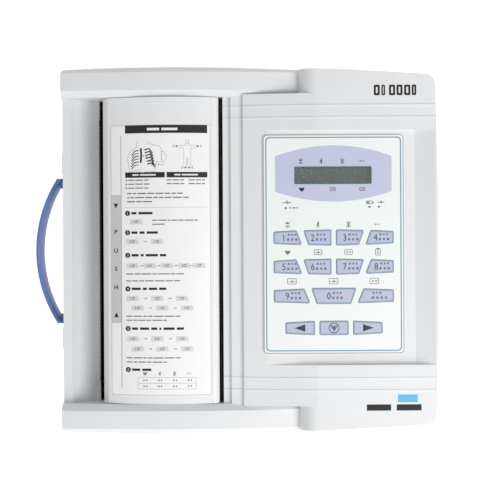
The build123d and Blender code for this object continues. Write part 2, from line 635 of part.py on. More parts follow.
def key_cap(name):
    """Key: a cap that stands just proud of the panel, with a flange that stops it under the skin."""
    flange_top = SKIN_UNDER_Z - KEY_FREE_GAP
    flange_low = KEY_LOW_Z
    cap = prism_z(key_outline(name), flange_low, PANEL_TOP_Z + KEY_PROUD)
    cap = chamfer(cap.faces().sort_by(Axis.Z)[-1].edges(), KEY_PROUD / 2)
    return cap + prism_z(key_outline(name, KEY_FLANGE), flange_low, flange_top)


def key_centre(name):
    """Middle of a key on the panel."""
    points, row = KEYS[name]
    middle_x = (min(p[0] for p in points) + max(p[0] for p in points)) / 2
    return PANEL_CENTRE[0] + middle_x, ROW_YS[row]


def window_outline(grow=0.0):
    """Display window outline."""
    size = (WINDOW_SIZE[0] + 2 * grow, WINDOW_SIZE[1] + 2 * grow)
    return Pos(*DISPLAY_CENTRE) * RectangleRounded(*size, WINDOW_CORNER)


def led_rods(radius, z0, z1):
    """One rod at each indicator."""
    rods = []
    for x, y in LED_PLACES:
        rods.append(rod_z(PANEL_CENTRE[0] + x, PANEL_CENTRE[1] + y, radius, z0, z1))
    return rods


def cut_key_holes(shape, z0, z1):
    """Open a plate for the keys, the display and the indicators."""
    for name in KEYS:
        shape -= prism_z(key_outline(name, KEY_GAP), z0, z1)
    for hole in led_rods(LED_RADIUS, z0, z1):
        shape -= hole
    return shape - prism_z(window_outline(), z0, z1)


def keypad_panel():
    """Flat overlay that carries the keypad printing."""
    outline = Pos(*PANEL_CENTRE) * RectangleRounded(*PANEL_SIZE, PANEL_CORNER)
    return cut_key_holes(prism_z(outline, PAN_FLOOR_Z, PANEL_TOP_Z), PAN_FLOOR_Z, PANEL_TOP_Z)


def centred_plate(centre, size, z0, z1):
    """Rectangular plate about a centre."""
    return prism_z(Pos(*centre) * Rectangle(*size), z0, z1)


def display_bezel(top_z):
    """Metal frame round the display glass."""
    low_z = top_z - BEZEL_HEIGHT
    bezel = centred_plate(DISPLAY_CENTRE, BEZEL_SIZE, low_z, top_z)
    return bezel - centred_plate(DISPLAY_CENTRE, GLASS_SIZE, low_z + BEZEL_FLOOR, top_z)


# ---- cover ---------------------------------------------------------------------------------------
def cover_profile(low_z=COVER_LOW_Z):
    """(x, z) outline of the cover: upright lip, bevel, arched top, right edge round the hinge."""
    edge = (HINGE_X, HINGE_Z + HINGE_ROUND)
    diagonal = HINGE_ROUND * math.sqrt(0.5)
    curl_end = (HINGE_X + HINGE_ROUND, HINGE_Z)
    top = ThreePointArc(COVER_BEVEL_TOP, COVER_CROWN, edge)
    curl = ThreePointArc(edge, (HINGE_X + diagonal, HINGE_Z + diagonal), curl_end)
    rest = Polyline(curl_end, (curl_end[0], low_z), (COVER_LEFT_X, low_z), (COVER_LEFT_X, COVER_LIP_TOP_Z),
                    COVER_BEVEL_TOP)
    return make_face([top, curl, *rest.edges()])


def cover_inside(half_width):
    """Space under the cover's shell, open downwards."""
    inside = offset(cover_profile(0), amount=-COVER_WALL, kind=Kind.INTERSECTION)
    return prism_y(inside, -half_width, half_width)


def paper_cover():
    """Hinged cover that carries the platen roller in two ears under its left edge."""
    width = COVER_HALF_WIDTH
    inside_y = width - COVER_WALL
    cover = prism_y(cover_profile(), -width, width) - cover_inside(inside_y)
    cover -= block(HINGE_X, BAY_RIGHT_X, -width, width, COVER_LOW_Z - 1, HINGE_Z)
    for side in (-1, 1):
        knuckle = sorted((side * (inside_y - KNUCKLE_LENGTH), side * width))
        cover += rod_y(HINGE_X, HINGE_Z, HINGE_ROUND, *knuckle)
        cover -= rod_y(HINGE_X, HINGE_Z, HINGE_PIN_RADIUS + RUNNING_CLEARANCE, *knuckle)
        ear = sorted(ear_span(side))
        reach = BUSH_RADIUS + COVER_WALL
        web = block(PLATEN_X - reach, PLATEN_X + reach, *ear, PLATEN_Z, BODY_HEIGHT)
        cover += web & prism_y(cover_profile(0), *ear)
        cover += rod_y(PLATEN_X, PLATEN_Z, reach, *ear)
        cover -= rod_y(PLATEN_X, PLATEN_Z, BUSH_RADIUS, *ear)
    return cover


def ear_span(side):
    """Y limits of the cover ear that holds a platen bush: outside the gears at the rear end."""
    return side * EAR_Y, side * (EAR_Y + EAR_WIDTH)


# ---- gears ---------------------------------------------------------------------------------------
def involute_point(base, radius, turn, hand):
    """Point at a radius on an involute whose flank is turned by an angle; hand mirrors it."""
    grow = math.sqrt(max((radius / base) ** 2 - 1, 0))
    angle = turn + hand * (grow - math.atan(grow))
    return radius * math.cos(angle), radius * math.sin(angle)


def spur_gear(teeth, phase, hub_radius):
    """Involute spur gear lying in the XZ plane, a tooth pointing at the phase angle (degrees)."""
    pitch = MODULE * teeth / 2
    base = pitch * math.cos(math.radians(20))
    tip = pitch + MODULE
    root = pitch - 1.25 * MODULE
    low = max(base, root)
    pressure = math.tan(math.acos(base / pitch)) - math.acos(base / pitch)
    half = math.pi / (2 * teeth) - BACKLASH / (4 * pitch) + pressure
    blank = extrude(Circle(root), amount=GEAR_WIDTH)
    for number in range(teeth):
        middle = math.radians(phase) + 2 * math.pi * number / teeth
        left = [involute_point(base, r, middle + half, -1) for r in (low, (low + tip) / 2, tip)]
        right = [involute_point(base, r, middle - half, 1) for r in (low, (low + tip) / 2, tip)]
        inner = root - MODULE / 2
        foot = [(inner * math.cos(middle + a), inner * math.sin(middle + a)) for a in (half, -half)]
        edges = [ThreePointArc(*left), Line(left[2], right[2]), ThreePointArc(*right[::-1]),
                 Line(right[0], foot[1]), Line(foot[1], foot[0]), Line(foot[0], left[0])]
        blank += extrude(make_face(edges), amount=GEAR_WIDTH)
    gear = Plane.XZ * blank
    gear = Pos(0, GEAR_Y + GEAR_WIDTH, 0) * gear
    return gear - rod_y(0, 0, hub_radius, GEAR_Y - 1, GEAR_Y + GEAR_WIDTH + 1)


def gear_places():
    """Idler centre and the phase of each gear, worked out so that the teeth mesh at rest."""
    first = MODULE * (PLATEN_TEETH + IDLER_TEETH) / 2 + CENTRE_CLEARANCE
    second = MODULE * (IDLER_TEETH + PINION_TEETH) / 2 + CENTRE_CLEARANCE
    dx = MOTOR_X - PLATEN_X
    dz = MOTOR_Z - PLATEN_Z
    span = math.hypot(dx, dz)
    along = (first ** 2 - second ** 2 + span ** 2) / (2 * span)
    across = math.sqrt(first ** 2 - along ** 2)
    idler_x = PLATEN_X + (dx * along - dz * across) / span
    idler_z = PLATEN_Z + (dz * along + dx * across) / span
    to_idler = math.degrees(math.atan2(idler_z - PLATEN_Z, idler_x - PLATEN_X))
    platen_phase = to_idler
    idler_phase = to_idler + 180 + 180 / IDLER_TEETH
    to_pinion = math.degrees(math.atan2(MOTOR_Z - idler_z, MOTOR_X - idler_x))
    step = 360 / IDLER_TEETH
    tooth_offset = (idler_phase - to_pinion + step / 2) % step - step / 2
    pinion_phase = to_pinion + 180 - tooth_offset * IDLER_TEETH / PINION_TEETH + 180 / PINION_TEETH
    return (idler_x, idler_z), platen_phase, idler_phase, pinion_phase


# ---- printer -------------------------------------------------------------------------------------
def printer_frame(idler):
    """Steel channel: two side plates joined by a base strip, with open notches for the two shafts."""
    outline = polygon(
        (FRAME_LEFT_X, FLOOR_Z), (FRAME_RIGHT_X, FLOOR_Z), (FRAME_RIGHT_X, ROLL_Z + 2 * SPINDLE_END_RADIUS),
        (FRAME_BEND_X, ROLL_Z + SPINDLE_RADIUS + 2 * SPINDLE_END_RADIUS), (FRAME_TOP_X[1], FRAME_TOP_Z),
        (FRAME_TOP_X[0], FRAME_TOP_Z), (FRAME_LEFT_X, PLATEN_Z - NOTCH_DEPTH / 2))
    plate = prism_y(outline, FRAME_Y, FRAME_Y + FRAME_SHEET)
    y0 = FRAME_Y - SHEET_CUT
    y1 = FRAME_Y + FRAME_SHEET + SHEET_CUT
    notch = SHAFT_RADIUS + NOTCH_GAP
    way_out = Pos(0, NOTCH_DEPTH / 2) * Rectangle(2 * notch, NOTCH_DEPTH)
    travel = Pos(PLATEN_X, PLATEN_Z) * Rot(0, 0, NOTCH_LEAN) * way_out
    plate -= prism_y(travel, y0, y1) + rod_y(PLATEN_X, PLATEN_Z, notch, y0, y1)
    slot = SPINDLE_END_RADIUS + RUNNING_CLEARANCE
    plate -= block(ROLL_X - slot, ROLL_X + slot, y0, y1, ROLL_Z, ROLL_Z + NOTCH_DEPTH)
    plate -= rod_y(ROLL_X, ROLL_Z, slot, y0, y1)
    frame = both_ends(plate)
    frame -= rod_y(MOTOR_X, MOTOR_Z, MOTOR_BOSS_RADIUS, y0, y1)
    frame += block(*FRAME_BASE_X, -FRAME_Y, FRAME_Y, FLOOR_Z, FLOOR_Z + FRAME_SHEET)
    frame -= rod_y(PIVOT_X, PIVOT_Z, PIVOT_RADIUS, -y1, y1)
    return frame + rod_y(*idler, IDLER_AXLE_RADIUS, FRAME_Y, EAR_Y + EAR_GAP)


def head_plate(along0, along1, deep0, deep1, half):
    """Plate lying against the platen; along runs up its face to the left, deep runs away from it."""
    face = Pos(CONTACT_X, CONTACT_Z) * Rot(0, 0, 45)
    outline = Pos(-(deep0 + deep1) / 2, (along0 + along1) / 2) * Rectangle(deep1 - deep0, along1 - along0)
    return prism_y(face * outline, -half, half)


def head_bracket():
    """Aluminium head carrier with a tube for its pivot rod."""
    back = HEAD_THICKNESS + BRACKET_THICKNESS
    bracket = head_plate(*BRACKET_ALONG, HEAD_THICKNESS, back, HEAD_HALF_LENGTH)
    for side in (-1, 1):
        ends = sorted((side * (HEAD_HALF_LENGTH - PIVOT_TUBE_LENGTH), side * HEAD_HALF_LENGTH))
        bracket += rod_y(PIVOT_X, PIVOT_Z, PIVOT_TUBE_RADIUS, *ends)
        bracket -= rod_y(PIVOT_X, PIVOT_Z, PIVOT_RADIUS + RUNNING_CLEARANCE, *ends)
    return bracket


def stepper_motor():
    """Round can on the rear side plate, with its shaft through the plate."""
    motor = rod_y(MOTOR_X, MOTOR_Z, MOTOR_RADIUS, FRAME_Y - MOTOR_LENGTH, FRAME_Y)
    return chamfer(motor.faces().sort_by(Axis.Y)[0].edges(), 1.0)


def paper_roll():
    """Wound paper."""
    roll = rod_y(ROLL_X, ROLL_Z, ROLL_RADIUS, -ROLL_HALF_LENGTH, ROLL_HALF_LENGTH)
    return roll - rod_y(ROLL_X, ROLL_Z, SPINDLE_RADIUS, -ROLL_HALF_LENGTH, ROLL_HALF_LENGTH)


def roll_spindle():
    """Plastic spindle through the wound paper, with thin ends that lie in the frame's notches."""
    core_y = FRAME_Y - SPINDLE_SIDE_GAP
    end_y = FRAME_Y + SPINDLE_END_LENGTH
    spindle = rod_y(ROLL_X, ROLL_Z, SPINDLE_RADIUS, -core_y, core_y)
    return spindle + rod_y(ROLL_X, ROLL_Z, SPINDLE_END_RADIUS, -end_y, end_y)


def paper_tray():
    """Moulded tray under and behind the roll, slotted for the frame's side plates."""
    half = RAIL_INNER_Y - TRAY_GAP
    right = BAY_RIGHT_X - TRAY_GAP
    tray = block(TRAY_LEFT_X, right, -half, half, TRAY_LOW_Z, TRAY_LOW_Z + TRAY_SHEET)
    tray += block(right - TRAY_SHEET, right, -half, half, TRAY_LOW_Z, TRAY_TOP_Z)
    for side in (-1, 1):
        slot = sorted((side * (FRAME_Y - SLOT_GAP), side * (FRAME_Y + FRAME_SHEET + SLOT_GAP)))
        tray -= block(TRAY_LEFT_X - 1, FRAME_RIGHT_X + 1, *slot, 0, TRAY_TOP_Z)
    return tray


def tear_bar():
    """Serrated steel strip at the paper exit."""
    half = FRAME_Y - 1.0
    count = int(2 * half / TEAR_PITCH)
    points = [(-half, TEAR_LOW_Z), (half, TEAR_LOW_Z)]
    for number in range(count, -1, -1):
        y = -half + number * TEAR_PITCH
        points.append((y, TEAR_TOP_Z - TEAR_TOOTH))
        if number:
            points.append((y - TEAR_PITCH / 2, TEAR_TOP_Z))
    left = BAY_LEFT_X + TEAR_GAP
    return prism_x(polygon(*points), left, left + TEAR_SHEET)


def coil_spring(x, y, z0, z1, radius, wire, turns):
    """Closed-ended compression spring standing along Z."""
    length = z1 - z0 - 2 * wire
    path = Helix(pitch=length / turns, height=length, radius=radius)
    section = Plane(origin=path @ 0, z_dir=path % 0) * Circle(wire)
    return Pos(x, y, z0 + wire) * sweep(section, path=path)


def latch_body():
    """Push latch housing beside the front gear-free end of the platen."""
    half_x, half_y = LATCH_HALF
    top = LATCH_TOP_Z - LATCH_SINK
    body = block(LATCH_X - half_x, LATCH_X + half_x, LATCH_Y - half_y, LATCH_Y + half_y, LATCH_LOW_Z, top)
    return body - rod_z(LATCH_X, LATCH_Y, PLUNGER_RADIUS + RUNNING_CLEARANCE, SPRING_LOW_Z, LATCH_TOP_Z)


def latch_striker():
    """Steel hook post under the cover, above the latch plunger."""
    foot = LATCH_TOP_Z + STRIKER_GAP
    width = (LATCH_X - STRIKER_HALF, LATCH_X + STRIKER_HALF)
    post = block(*width, LATCH_Y - STRIKER_POST, LATCH_Y + STRIKER_POST, foot, BODY_HEIGHT)
    post += block(*width, LATCH_Y - STRIKER_HALF, LATCH_Y + STRIKER_HALF, foot, foot + STRIKER_FOOT)
    return post & cover_inside(COVER_HALF_WIDTH)


# ---- handle --------------------------------------------------------------------------------------
def tongue(grow=0.0):
    """Square tongue at the strap's rear end that passes through the case wall."""
    end_y = POCKET_HALF
    return block(-HALF_LENGTH - HANDLE_END_GAP - HANDLE_THICKNESS / 2,
                 -HALF_LENGTH + POCKET_DEPTH + WALL + TONGUE_END, end_y - TONGUE_WIDTH - grow, end_y + grow,
                 HANDLE_LOW_Z + TONGUE_INSET - grow, HANDLE_TOP_Z - TONGUE_INSET + grow)


def handle_strap():
    """Bowed strap with a tongue at each end, held inside the case by a pin."""
    near = -HALF_LENGTH - HANDLE_END_GAP
    far = near - HANDLE_THICKNESS
    crest = -HALF_LENGTH - HANDLE_REACH
    outer_y = POCKET_HALF
    inner_y = POCKET_HALF - HANDLE_END_TAPER
    outer = ThreePointArc((far, -outer_y), (crest, 0), (far, outer_y))
    inner = ThreePointArc((near, -inner_y), (crest + HANDLE_THICKNESS, 0), (near, inner_y))
    edges = [outer, inner, Line(outer @ 0, inner @ 0), Line(outer @ 1, inner @ 1)]
    return prism_z(make_face(edges), HANDLE_LOW_Z, HANDLE_TOP_Z) + both_ends(tongue())


# ---- connectors ----------------------------------------------------------------------------------
def wall_box(x, half_x, half_z, y0, y1):
    """Box through the rear wall about a connector's middle."""
    return block(x - half_x, x + half_x, y0, y1, SOCKET_Z - half_z, SOCKET_Z + half_z)


def connector_cutters():
    """Openings in the rear and right walls."""
    far = HALF_WIDTH + SPARE
    near = side_y(HALF_LENGTH) - WALL - SPARE
    cuts = [wall_box(INLET_X, *INLET_HALF, near, far), wall_box(ROCKER_X, *ROCKER_BODY, near, far),
            wall_box(SERIAL_X, SERIAL_HALF, SHELL_HALF_HEIGHT, near, far),
            block(HALF_LENGTH - WALL - SPARE, HALF_LENGTH + SPARE, PATIENT_Y - PATIENT_HALF,
                  PATIENT_Y + PATIENT_HALF, SOCKET_Z - SHELL_HALF_HEIGHT, SOCKET_Z + SHELL_HALF_HEIGHT),
            rod_y(STUD_X, SOCKET_Z, STUD_RADIUS, near, far)]
    return cuts


def mains_inlet():
    """Appliance inlet with an open cavity and three blades."""
    mouth_y = side_y(INLET_X) - INLET_SINK
    floor_y = mouth_y - INLET_CAVITY
    body = wall_box(INLET_X, *INLET_HALF, mouth_y - INLET_DEPTH, mouth_y)
    body -= wall_box(INLET_X, INLET_HALF[0] - INLET_RIM, INLET_HALF[1] - INLET_RIM, floor_y, mouth_y + 1)
    blades = []
    for dx, dz in BLADE_PLACES:
        blades.append(Pos(dx, 0, dz) * wall_box(INLET_X, *BLADE_HALF, floor_y, floor_y + BLADE_LENGTH))
    return group([body, *blades])


def rocker_housing():
    """Switch housing with an open front for the rocker and a seat for its trunnions."""
    face_y = side_y(ROCKER_X) - ROCKER_SINK
    body = wall_box(ROCKER_X, *ROCKER_BODY, face_y - ROCKER_DEPTH, face_y)
    body -= wall_box(ROCKER_X, *ROCKER_CAVITY, face_y - ROCKER_CAVITY_DEPTH, face_y + 1)
    return body - rocker_pin(TRUNNION_RADIUS + RUNNING_CLEARANCE, TRUNNION_HALF + RUNNING_CLEARANCE)


def rocker_pin(radius, half):
    """Rod along X on the rocker's pivot."""
    pivot_y = side_y(ROCKER_X) - ROCKER_PIVOT_DEPTH
    return prism_x(Pos(pivot_y, SOCKET_Z) * Circle(radius), ROCKER_X - half, ROCKER_X + half)


def power_rocker():
    """Two-sided rocker on two trunnions, pressed in at its lower half."""
    pivot_y = side_y(ROCKER_X) - ROCKER_PIVOT_DEPTH
    tilted = Pos(pivot_y, SOCKET_Z) * Rot(0, 0, -ROCKER_TRAVEL / 2) * polygon(*ROCKER_FACE)
    half = ROCKER_CAVITY[0] - ROCKER_SIDE_GAP
    return prism_x(tilted, ROCKER_X - half, ROCKER_X + half) + rocker_pin(TRUNNION_RADIUS, TRUNNION_HALF)


def serial_port():
    """Shielded multi-way connector facing the rear."""
    face_y = side_y(SERIAL_X) - SHELL_SINK
    body = wall_box(SERIAL_X, SERIAL_HALF, SHELL_HALF_HEIGHT, face_y - SERIAL_DEPTH, face_y)
    return body - wall_box(SERIAL_X, SERIAL_HALF - SHELL_RIM, SHELL_HALF_HEIGHT - SHELL_RIM,
                           face_y - SERIAL_CAVITY, face_y + 1)


def patient_connector():
    """Shielded connector in the right wall for the patient lead set, with two rows of contacts."""
    face_x = HALF_LENGTH - SHELL_SINK
    floor_x = face_x - PATIENT_CAVITY
    inner_y = PATIENT_HALF - SHELL_RIM
    inner_z = SHELL_HALF_HEIGHT - SHELL_RIM
    body = block(face_x - PATIENT_DEPTH, face_x, PATIENT_Y - PATIENT_HALF, PATIENT_Y + PATIENT_HALF,
                 SOCKET_Z - SHELL_HALF_HEIGHT, SOCKET_Z + SHELL_HALF_HEIGHT)
    body -= block(floor_x, face_x + 1, PATIENT_Y - inner_y, PATIENT_Y + inner_y,
                  SOCKET_Z - inner_z, SOCKET_Z + inner_z)
    pins = [body]
    for row, count in CONTACT_ROWS:
        for number in range(count):
            y = PATIENT_Y + (number - (count - 1) / 2) * CONTACT_PITCH
            pin = Pos(y, SOCKET_Z + row) * Circle(CONTACT_RADIUS)
            pins.append(prism_x(pin, floor_x, floor_x + CONTACT_LENGTH))
    return group(pins)


def earth_stud():
    """Threaded stud through the rear wall with its nut."""
    stud_y = side_y(STUD_X)
    tip_y = stud_y - STUD_SINK
    stud = rod_y(STUD_X, SOCKET_Z, STUD_RADIUS, tip_y - STUD_LENGTH, tip_y)
    stud -= rod_y(STUD_X, SOCKET_Z, STUD_BORE[0], stud_y - STUD_BORE[1], stud_y)
    nut_face = Pos(STUD_X, SOCKET_Z) * RegularPolygon(NUT_RADIUS, 6)
    nut = prism_y(nut_face, stud_y - NUT_SPAN[0], stud_y - NUT_SPAN[1])
    return group([stud, nut - rod_y(STUD_X, SOCKET_Z, STUD_RADIUS, 0, HALF_WIDTH)])


# ---- sub-parts -----------------------------------------------------------------------------------
def case_parts():
    """Upper and lower case, feet, screws and battery hatch."""
    shell = case_shell()
    limits = (-HALF_LENGTH - SPARE, HALF_LENGTH + SPARE, -HALF_WIDTH - SPARE, HALF_WIDTH + SPARE)
    top = shell & block(*limits, PARTING_Z, BODY_HEIGHT + SPARE)
    bottom = shell & block(*limits, 0, PARTING_Z)
    head_z = FOOT_HEIGHT + SCREW_SINK
    tip_z = PARTING_Z + SCREW_BITE
    hole_radius = SCREW_RADIUS + SCREW_HOLE_GAP
    for post in bosses(BOSS_RADIUS, PARTING_Z, BOSS_TOP_Z):
        top += post
    for hole in bosses(SCREW_RADIUS, PARTING_Z - 1, tip_z + SCREW_TIP_GAP):
        top -= hole
    for post in bosses(BOSS_RADIUS, FOOT_HEIGHT + 1, PARTING_Z):
        bottom += post
    for hole in bosses(hole_radius, 0, PARTING_Z) + bosses(SCREW_HEAD_RADIUS + SCREW_HEAD_GAP, 0, head_z):
        bottom -= hole
    top = cut_key_holes(top, SKIN_UNDER_Z - 1, PAN_FLOOR_Z + 1)
    hatch_hole = (HATCH_SIZE[0] + 2 * HATCH_GAP, HATCH_SIZE[1] + 2 * HATCH_GAP)
    bottom -= centred_plate(HATCH_CENTRE, hatch_hole, 0, FLOOR_Z)
    for x, y in FOOT_PLACES:
        for side in (-1, 1):
            bottom -= rod_z(x, y * side, FOOT_STEM_RADIUS + FOOT_STEM_GAP, 0, FOOT_STEM_TOP_Z + 1)
    for dx in (-1, 1):
        for dy in (-1, 1):
            x = MAIN_BOARD_CENTRE[0] + dx * BOARD_POST_SPREAD[0]
            y = MAIN_BOARD_CENTRE[1] + dy * BOARD_POST_SPREAD[1]
            bottom += rod_z(x, y, BOARD_POST_RADIUS, FOOT_HEIGHT + 1, MAIN_BOARD_Z)
    for side in (-1, 1):
        pin = sorted((side * RAIL_INNER_Y, side * (RAIL_INNER_Y + PIN_BOSS_LENGTH)))
        top += rod_y(HINGE_X, HINGE_Z, PIN_BOSS_RADIUS, *pin)
        top -= rod_y(HINGE_X, HINGE_Z, HINGE_PIN_RADIUS, *pin)
    screws = [rod_z(x, y * side, SCREW_RADIUS, head_z, tip_z)
              + rod_z(x, y * side, SCREW_HEAD_RADIUS, head_z - SCREW_HEAD_HEIGHT, head_z)
              for x, y in SCREW_PLACES for side in (-1, 1)]
    feet = [rod_z(x, y * side, FOOT_RADIUS, 0, FOOT_HEIGHT)
            + rod_z(x, y * side, FOOT_STEM_RADIUS, FOOT_HEIGHT, FOOT_STEM_TOP_Z)
            for x, y in FOOT_PLACES for side in (-1, 1)]
    hatch = centred_plate(HATCH_CENTRE, HATCH_SIZE, FOOT_HEIGHT, FLOOR_Z)
    place = (HATCH_CENTRE[0] - HATCH_SIZE[0] / 2 + HATCH_SCREW_INSET, HATCH_CENTRE[1])
    neck_z = FOOT_HEIGHT + HATCH_SCREW_HEAD
    screw = rod_z(*place, SCREW_HEAD_RADIUS, FOOT_HEIGHT, neck_z)
    screw += rod_z(*place, SCREW_RADIUS, neck_z, neck_z + HATCH_SCREW_LENGTH)
    screws.append(screw)
    return {"top_case": top, "bottom_case": bottom, "case_screws": group(screws), "rubber_feet": group(feet),
            "battery_hatch": hatch - screw}


def main_board():
    """Main board with its largest components."""
    top_z = MAIN_BOARD_Z + BOARD_THICKNESS
    pieces = [centred_plate(MAIN_BOARD_CENTRE, MAIN_BOARD_SIZE, MAIN_BOARD_Z, top_z)]
    for dx, dy, width, depth, height in BOARD_PARTS:
        centre = (MAIN_BOARD_CENTRE[0] + dx, MAIN_BOARD_CENTRE[1] + dy)
        pieces.append(centred_plate(centre, (width, depth), top_z, top_z + height))
    return group(pieces)


def console_parts():
    """Keypad overlay, keys, display, boards and supply under the console."""
    key_board_centre = (PANEL_CENTRE[0], PANEL_CENTRE[1] + KEY_BOARD_OFFSET)
    domes = [rod_z(*key_centre(name), DOME_RADIUS, KEY_BOARD_TOP_Z, KEY_BOARD_TOP_Z + DOME_HEIGHT)
             for name in KEYS]
    glass_low = SKIN_UNDER_Z - BEZEL_HEIGHT + BEZEL_FLOOR
    battery_size = (HATCH_SIZE[0] - 2 * BATTERY_MARGIN, HATCH_SIZE[1] - 2 * BATTERY_MARGIN)
    buzzer_low = MAIN_BOARD_Z + BOARD_THICKNESS
    buzzer_place = (MAIN_BOARD_CENTRE[0] + BUZZER_OFFSET[0], MAIN_BOARD_CENTRE[1] + BUZZER_OFFSET[1])
    parts = {
        "keypad_panel": keypad_panel(),
        "key_board": centred_plate(key_board_centre, KEY_BOARD_SIZE, KEY_BOARD_TOP_Z - BOARD_THICKNESS,
                                   KEY_BOARD_TOP_Z),
        "key_domes": group(domes),
        "display_window": prism_z(window_outline(), PAN_FLOOR_Z - WINDOW_DROP, PANEL_TOP_Z),
        "display_bezel": display_bezel(SKIN_UNDER_Z),
        "display_glass": centred_plate(DISPLAY_CENTRE, GLASS_SIZE, glass_low, glass_low + GLASS_THICKNESS),
        "indicator_lights": group(led_rods(LED_RADIUS - LED_GAP, KEY_BOARD_TOP_Z, PANEL_TOP_Z + LED_PROUD)),
        "main_board": main_board(),
        "power_supply": block(*SUPPLY_X, *SUPPLY_Y, *SUPPLY_Z),
        "battery_pack": centred_plate(HATCH_CENTRE, battery_size, *BATTERY_Z),
        "buzzer": rod_z(*buzzer_place, BUZZER_RADIUS, buzzer_low, buzzer_low + BUZZER_HEIGHT),
    }
    for name in KEYS:
        parts[name] = key_cap(name)
    return parts


def printer_parts():
    """Printer frame, head, gear train, roll, tray, latch and tear bar."""
    idler, platen_phase, idler_phase, pinion_phase = gear_places()
    rod_end = FRAME_Y + FRAME_SHEET + 0.5
    pinion = Pos(MOTOR_X, 0, MOTOR_Z) * spur_gear(PINION_TEETH, pinion_phase, MOTOR_SHAFT_RADIUS)
    pinion += rod_y(MOTOR_X, MOTOR_Z, MOTOR_SHAFT_RADIUS, FRAME_Y + 2 * RUNNING_CLEARANCE, EAR_Y)
    sleeve = rod_y(PLATEN_X, PLATEN_Z, PLATEN_RADIUS, -PLATEN_HALF_LENGTH, PLATEN_HALF_LENGTH)
    bushes = [rod_y(PLATEN_X, PLATEN_Z, BUSH_RADIUS, *sorted(ear_span(side)))
              - rod_y(PLATEN_X, PLATEN_Z, SHAFT_RADIUS + RUNNING_CLEARANCE, *sorted(ear_span(side)))
              for side in (-1, 1)]
    return {
        "printer_frame": printer_frame(idler),
        "thermal_head": head_plate(*HEAD_ALONG, 0.0, HEAD_THICKNESS, HEAD_HALF_LENGTH),
        "head_bracket": head_bracket(),
        "head_pivot_rod": rod_y(PIVOT_X, PIVOT_Z, PIVOT_RADIUS, -rod_end, rod_end),
        "tear_bar": tear_bar(),
        "stepper_motor": stepper_motor(),
        "motor_pinion": pinion,
        "idler_gear": Pos(idler[0], 0, idler[1])
        * spur_gear(IDLER_TEETH, idler_phase, IDLER_AXLE_RADIUS + RUNNING_CLEARANCE),
        "platen_gear": Pos(PLATEN_X, 0, PLATEN_Z) * spur_gear(PLATEN_TEETH, platen_phase, SHAFT_RADIUS),
        "platen_shaft": rod_y(PLATEN_X, PLATEN_Z, SHAFT_RADIUS, -SHAFT_HALF_LENGTH, SHAFT_HALF_LENGTH),
        "platen_rubber": sleeve
        - rod_y(PLATEN_X, PLATEN_Z, SHAFT_RADIUS, -PLATEN_HALF_LENGTH, PLATEN_HALF_LENGTH),
        "platen_bushes": group(bushes),
        "paper_roll": paper_roll(),
        "roll_spindle": roll_spindle(),
        "paper_tray": paper_tray(),
        "latch_body": latch_body(),
        "latch_plunger": rod_z(LATCH_X, LATCH_Y, PLUNGER_RADIUS, PLUNGER_LOW_Z, LATCH_TOP_Z),
        "latch_spring": coil_spring(LATCH_X, LATCH_Y, SPRING_LOW_Z, PLUNGER_LOW_Z, SPRING_RADIUS, SPRING_WIRE,
                                    SPRING_TURNS),
    }


def cover_parts():
    """Cover, striker and hinge pins."""
    near = COVER_HALF_WIDTH - PIN_BOSS_LENGTH
    far = RAIL_INNER_Y + PIN_HIDDEN
    pins = [rod_y(HINGE_X, HINGE_Z, HINGE_PIN_RADIUS, *sorted((side * near, side * far))) for side in (-1, 1)]
    return {"paper_cover": paper_cover(), "hinge_pins": group(pins), "latch_striker": latch_striker()}


def handle_parts():
    """Strap and the pins that hold its tongues inside the case."""
    pin_x = -HALF_LENGTH + POCKET_DEPTH + WALL + TONGUE_END / 2
    pin_y = POCKET_HALF - TONGUE_WIDTH / 2
    span = (HANDLE_LOW_Z + HANDLE_PIN_INSET, HANDLE_TOP_Z - HANDLE_PIN_INSET)
    pins = [rod_z(pin_x, pin_y * side, HANDLE_PIN_RADIUS, *span) for side in (-1, 1)]
    strap = handle_strap()
    for pin in pins:
        strap -= pin
    return {"handle_strap": strap, "handle_pins": group(pins)}


def connector_parts():
    """Rear and right wall connectors, switch and earth stud."""
    return {
        "mains_inlet": mains_inlet(),
        "switch_housing": rocker_housing(),
        "power_rocker": power_rocker(),
        "serial_port": serial_port(),
        "patient_connector": patient_connector(),
        "earth_stud": earth_stud(),
    }


def main():
    """Build every sub-part and write it."""
    os.makedirs("parts", exist_ok=True)
    for make in (case_parts, console_parts, printer_parts, cover_parts, handle_parts, connector_parts):
        for name, shape in make().items():
            save(name, shape)


if __name__ == "__main__":
    main()
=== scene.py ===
"""Looks of a portable ECG recorder: moulded case, printed cover guide, film keypad and strap handle.

Each sub-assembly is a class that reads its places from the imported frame, builds its own pieces in
metres and hands them to the body they move with. Printed marks are thin meshes laid on the surfaces.
"""
import logging
import math
from dataclasses import dataclass, field
from enum import Enum
from typing import Callable

import bmesh
import bpy
from mathutils import Matrix, Vector

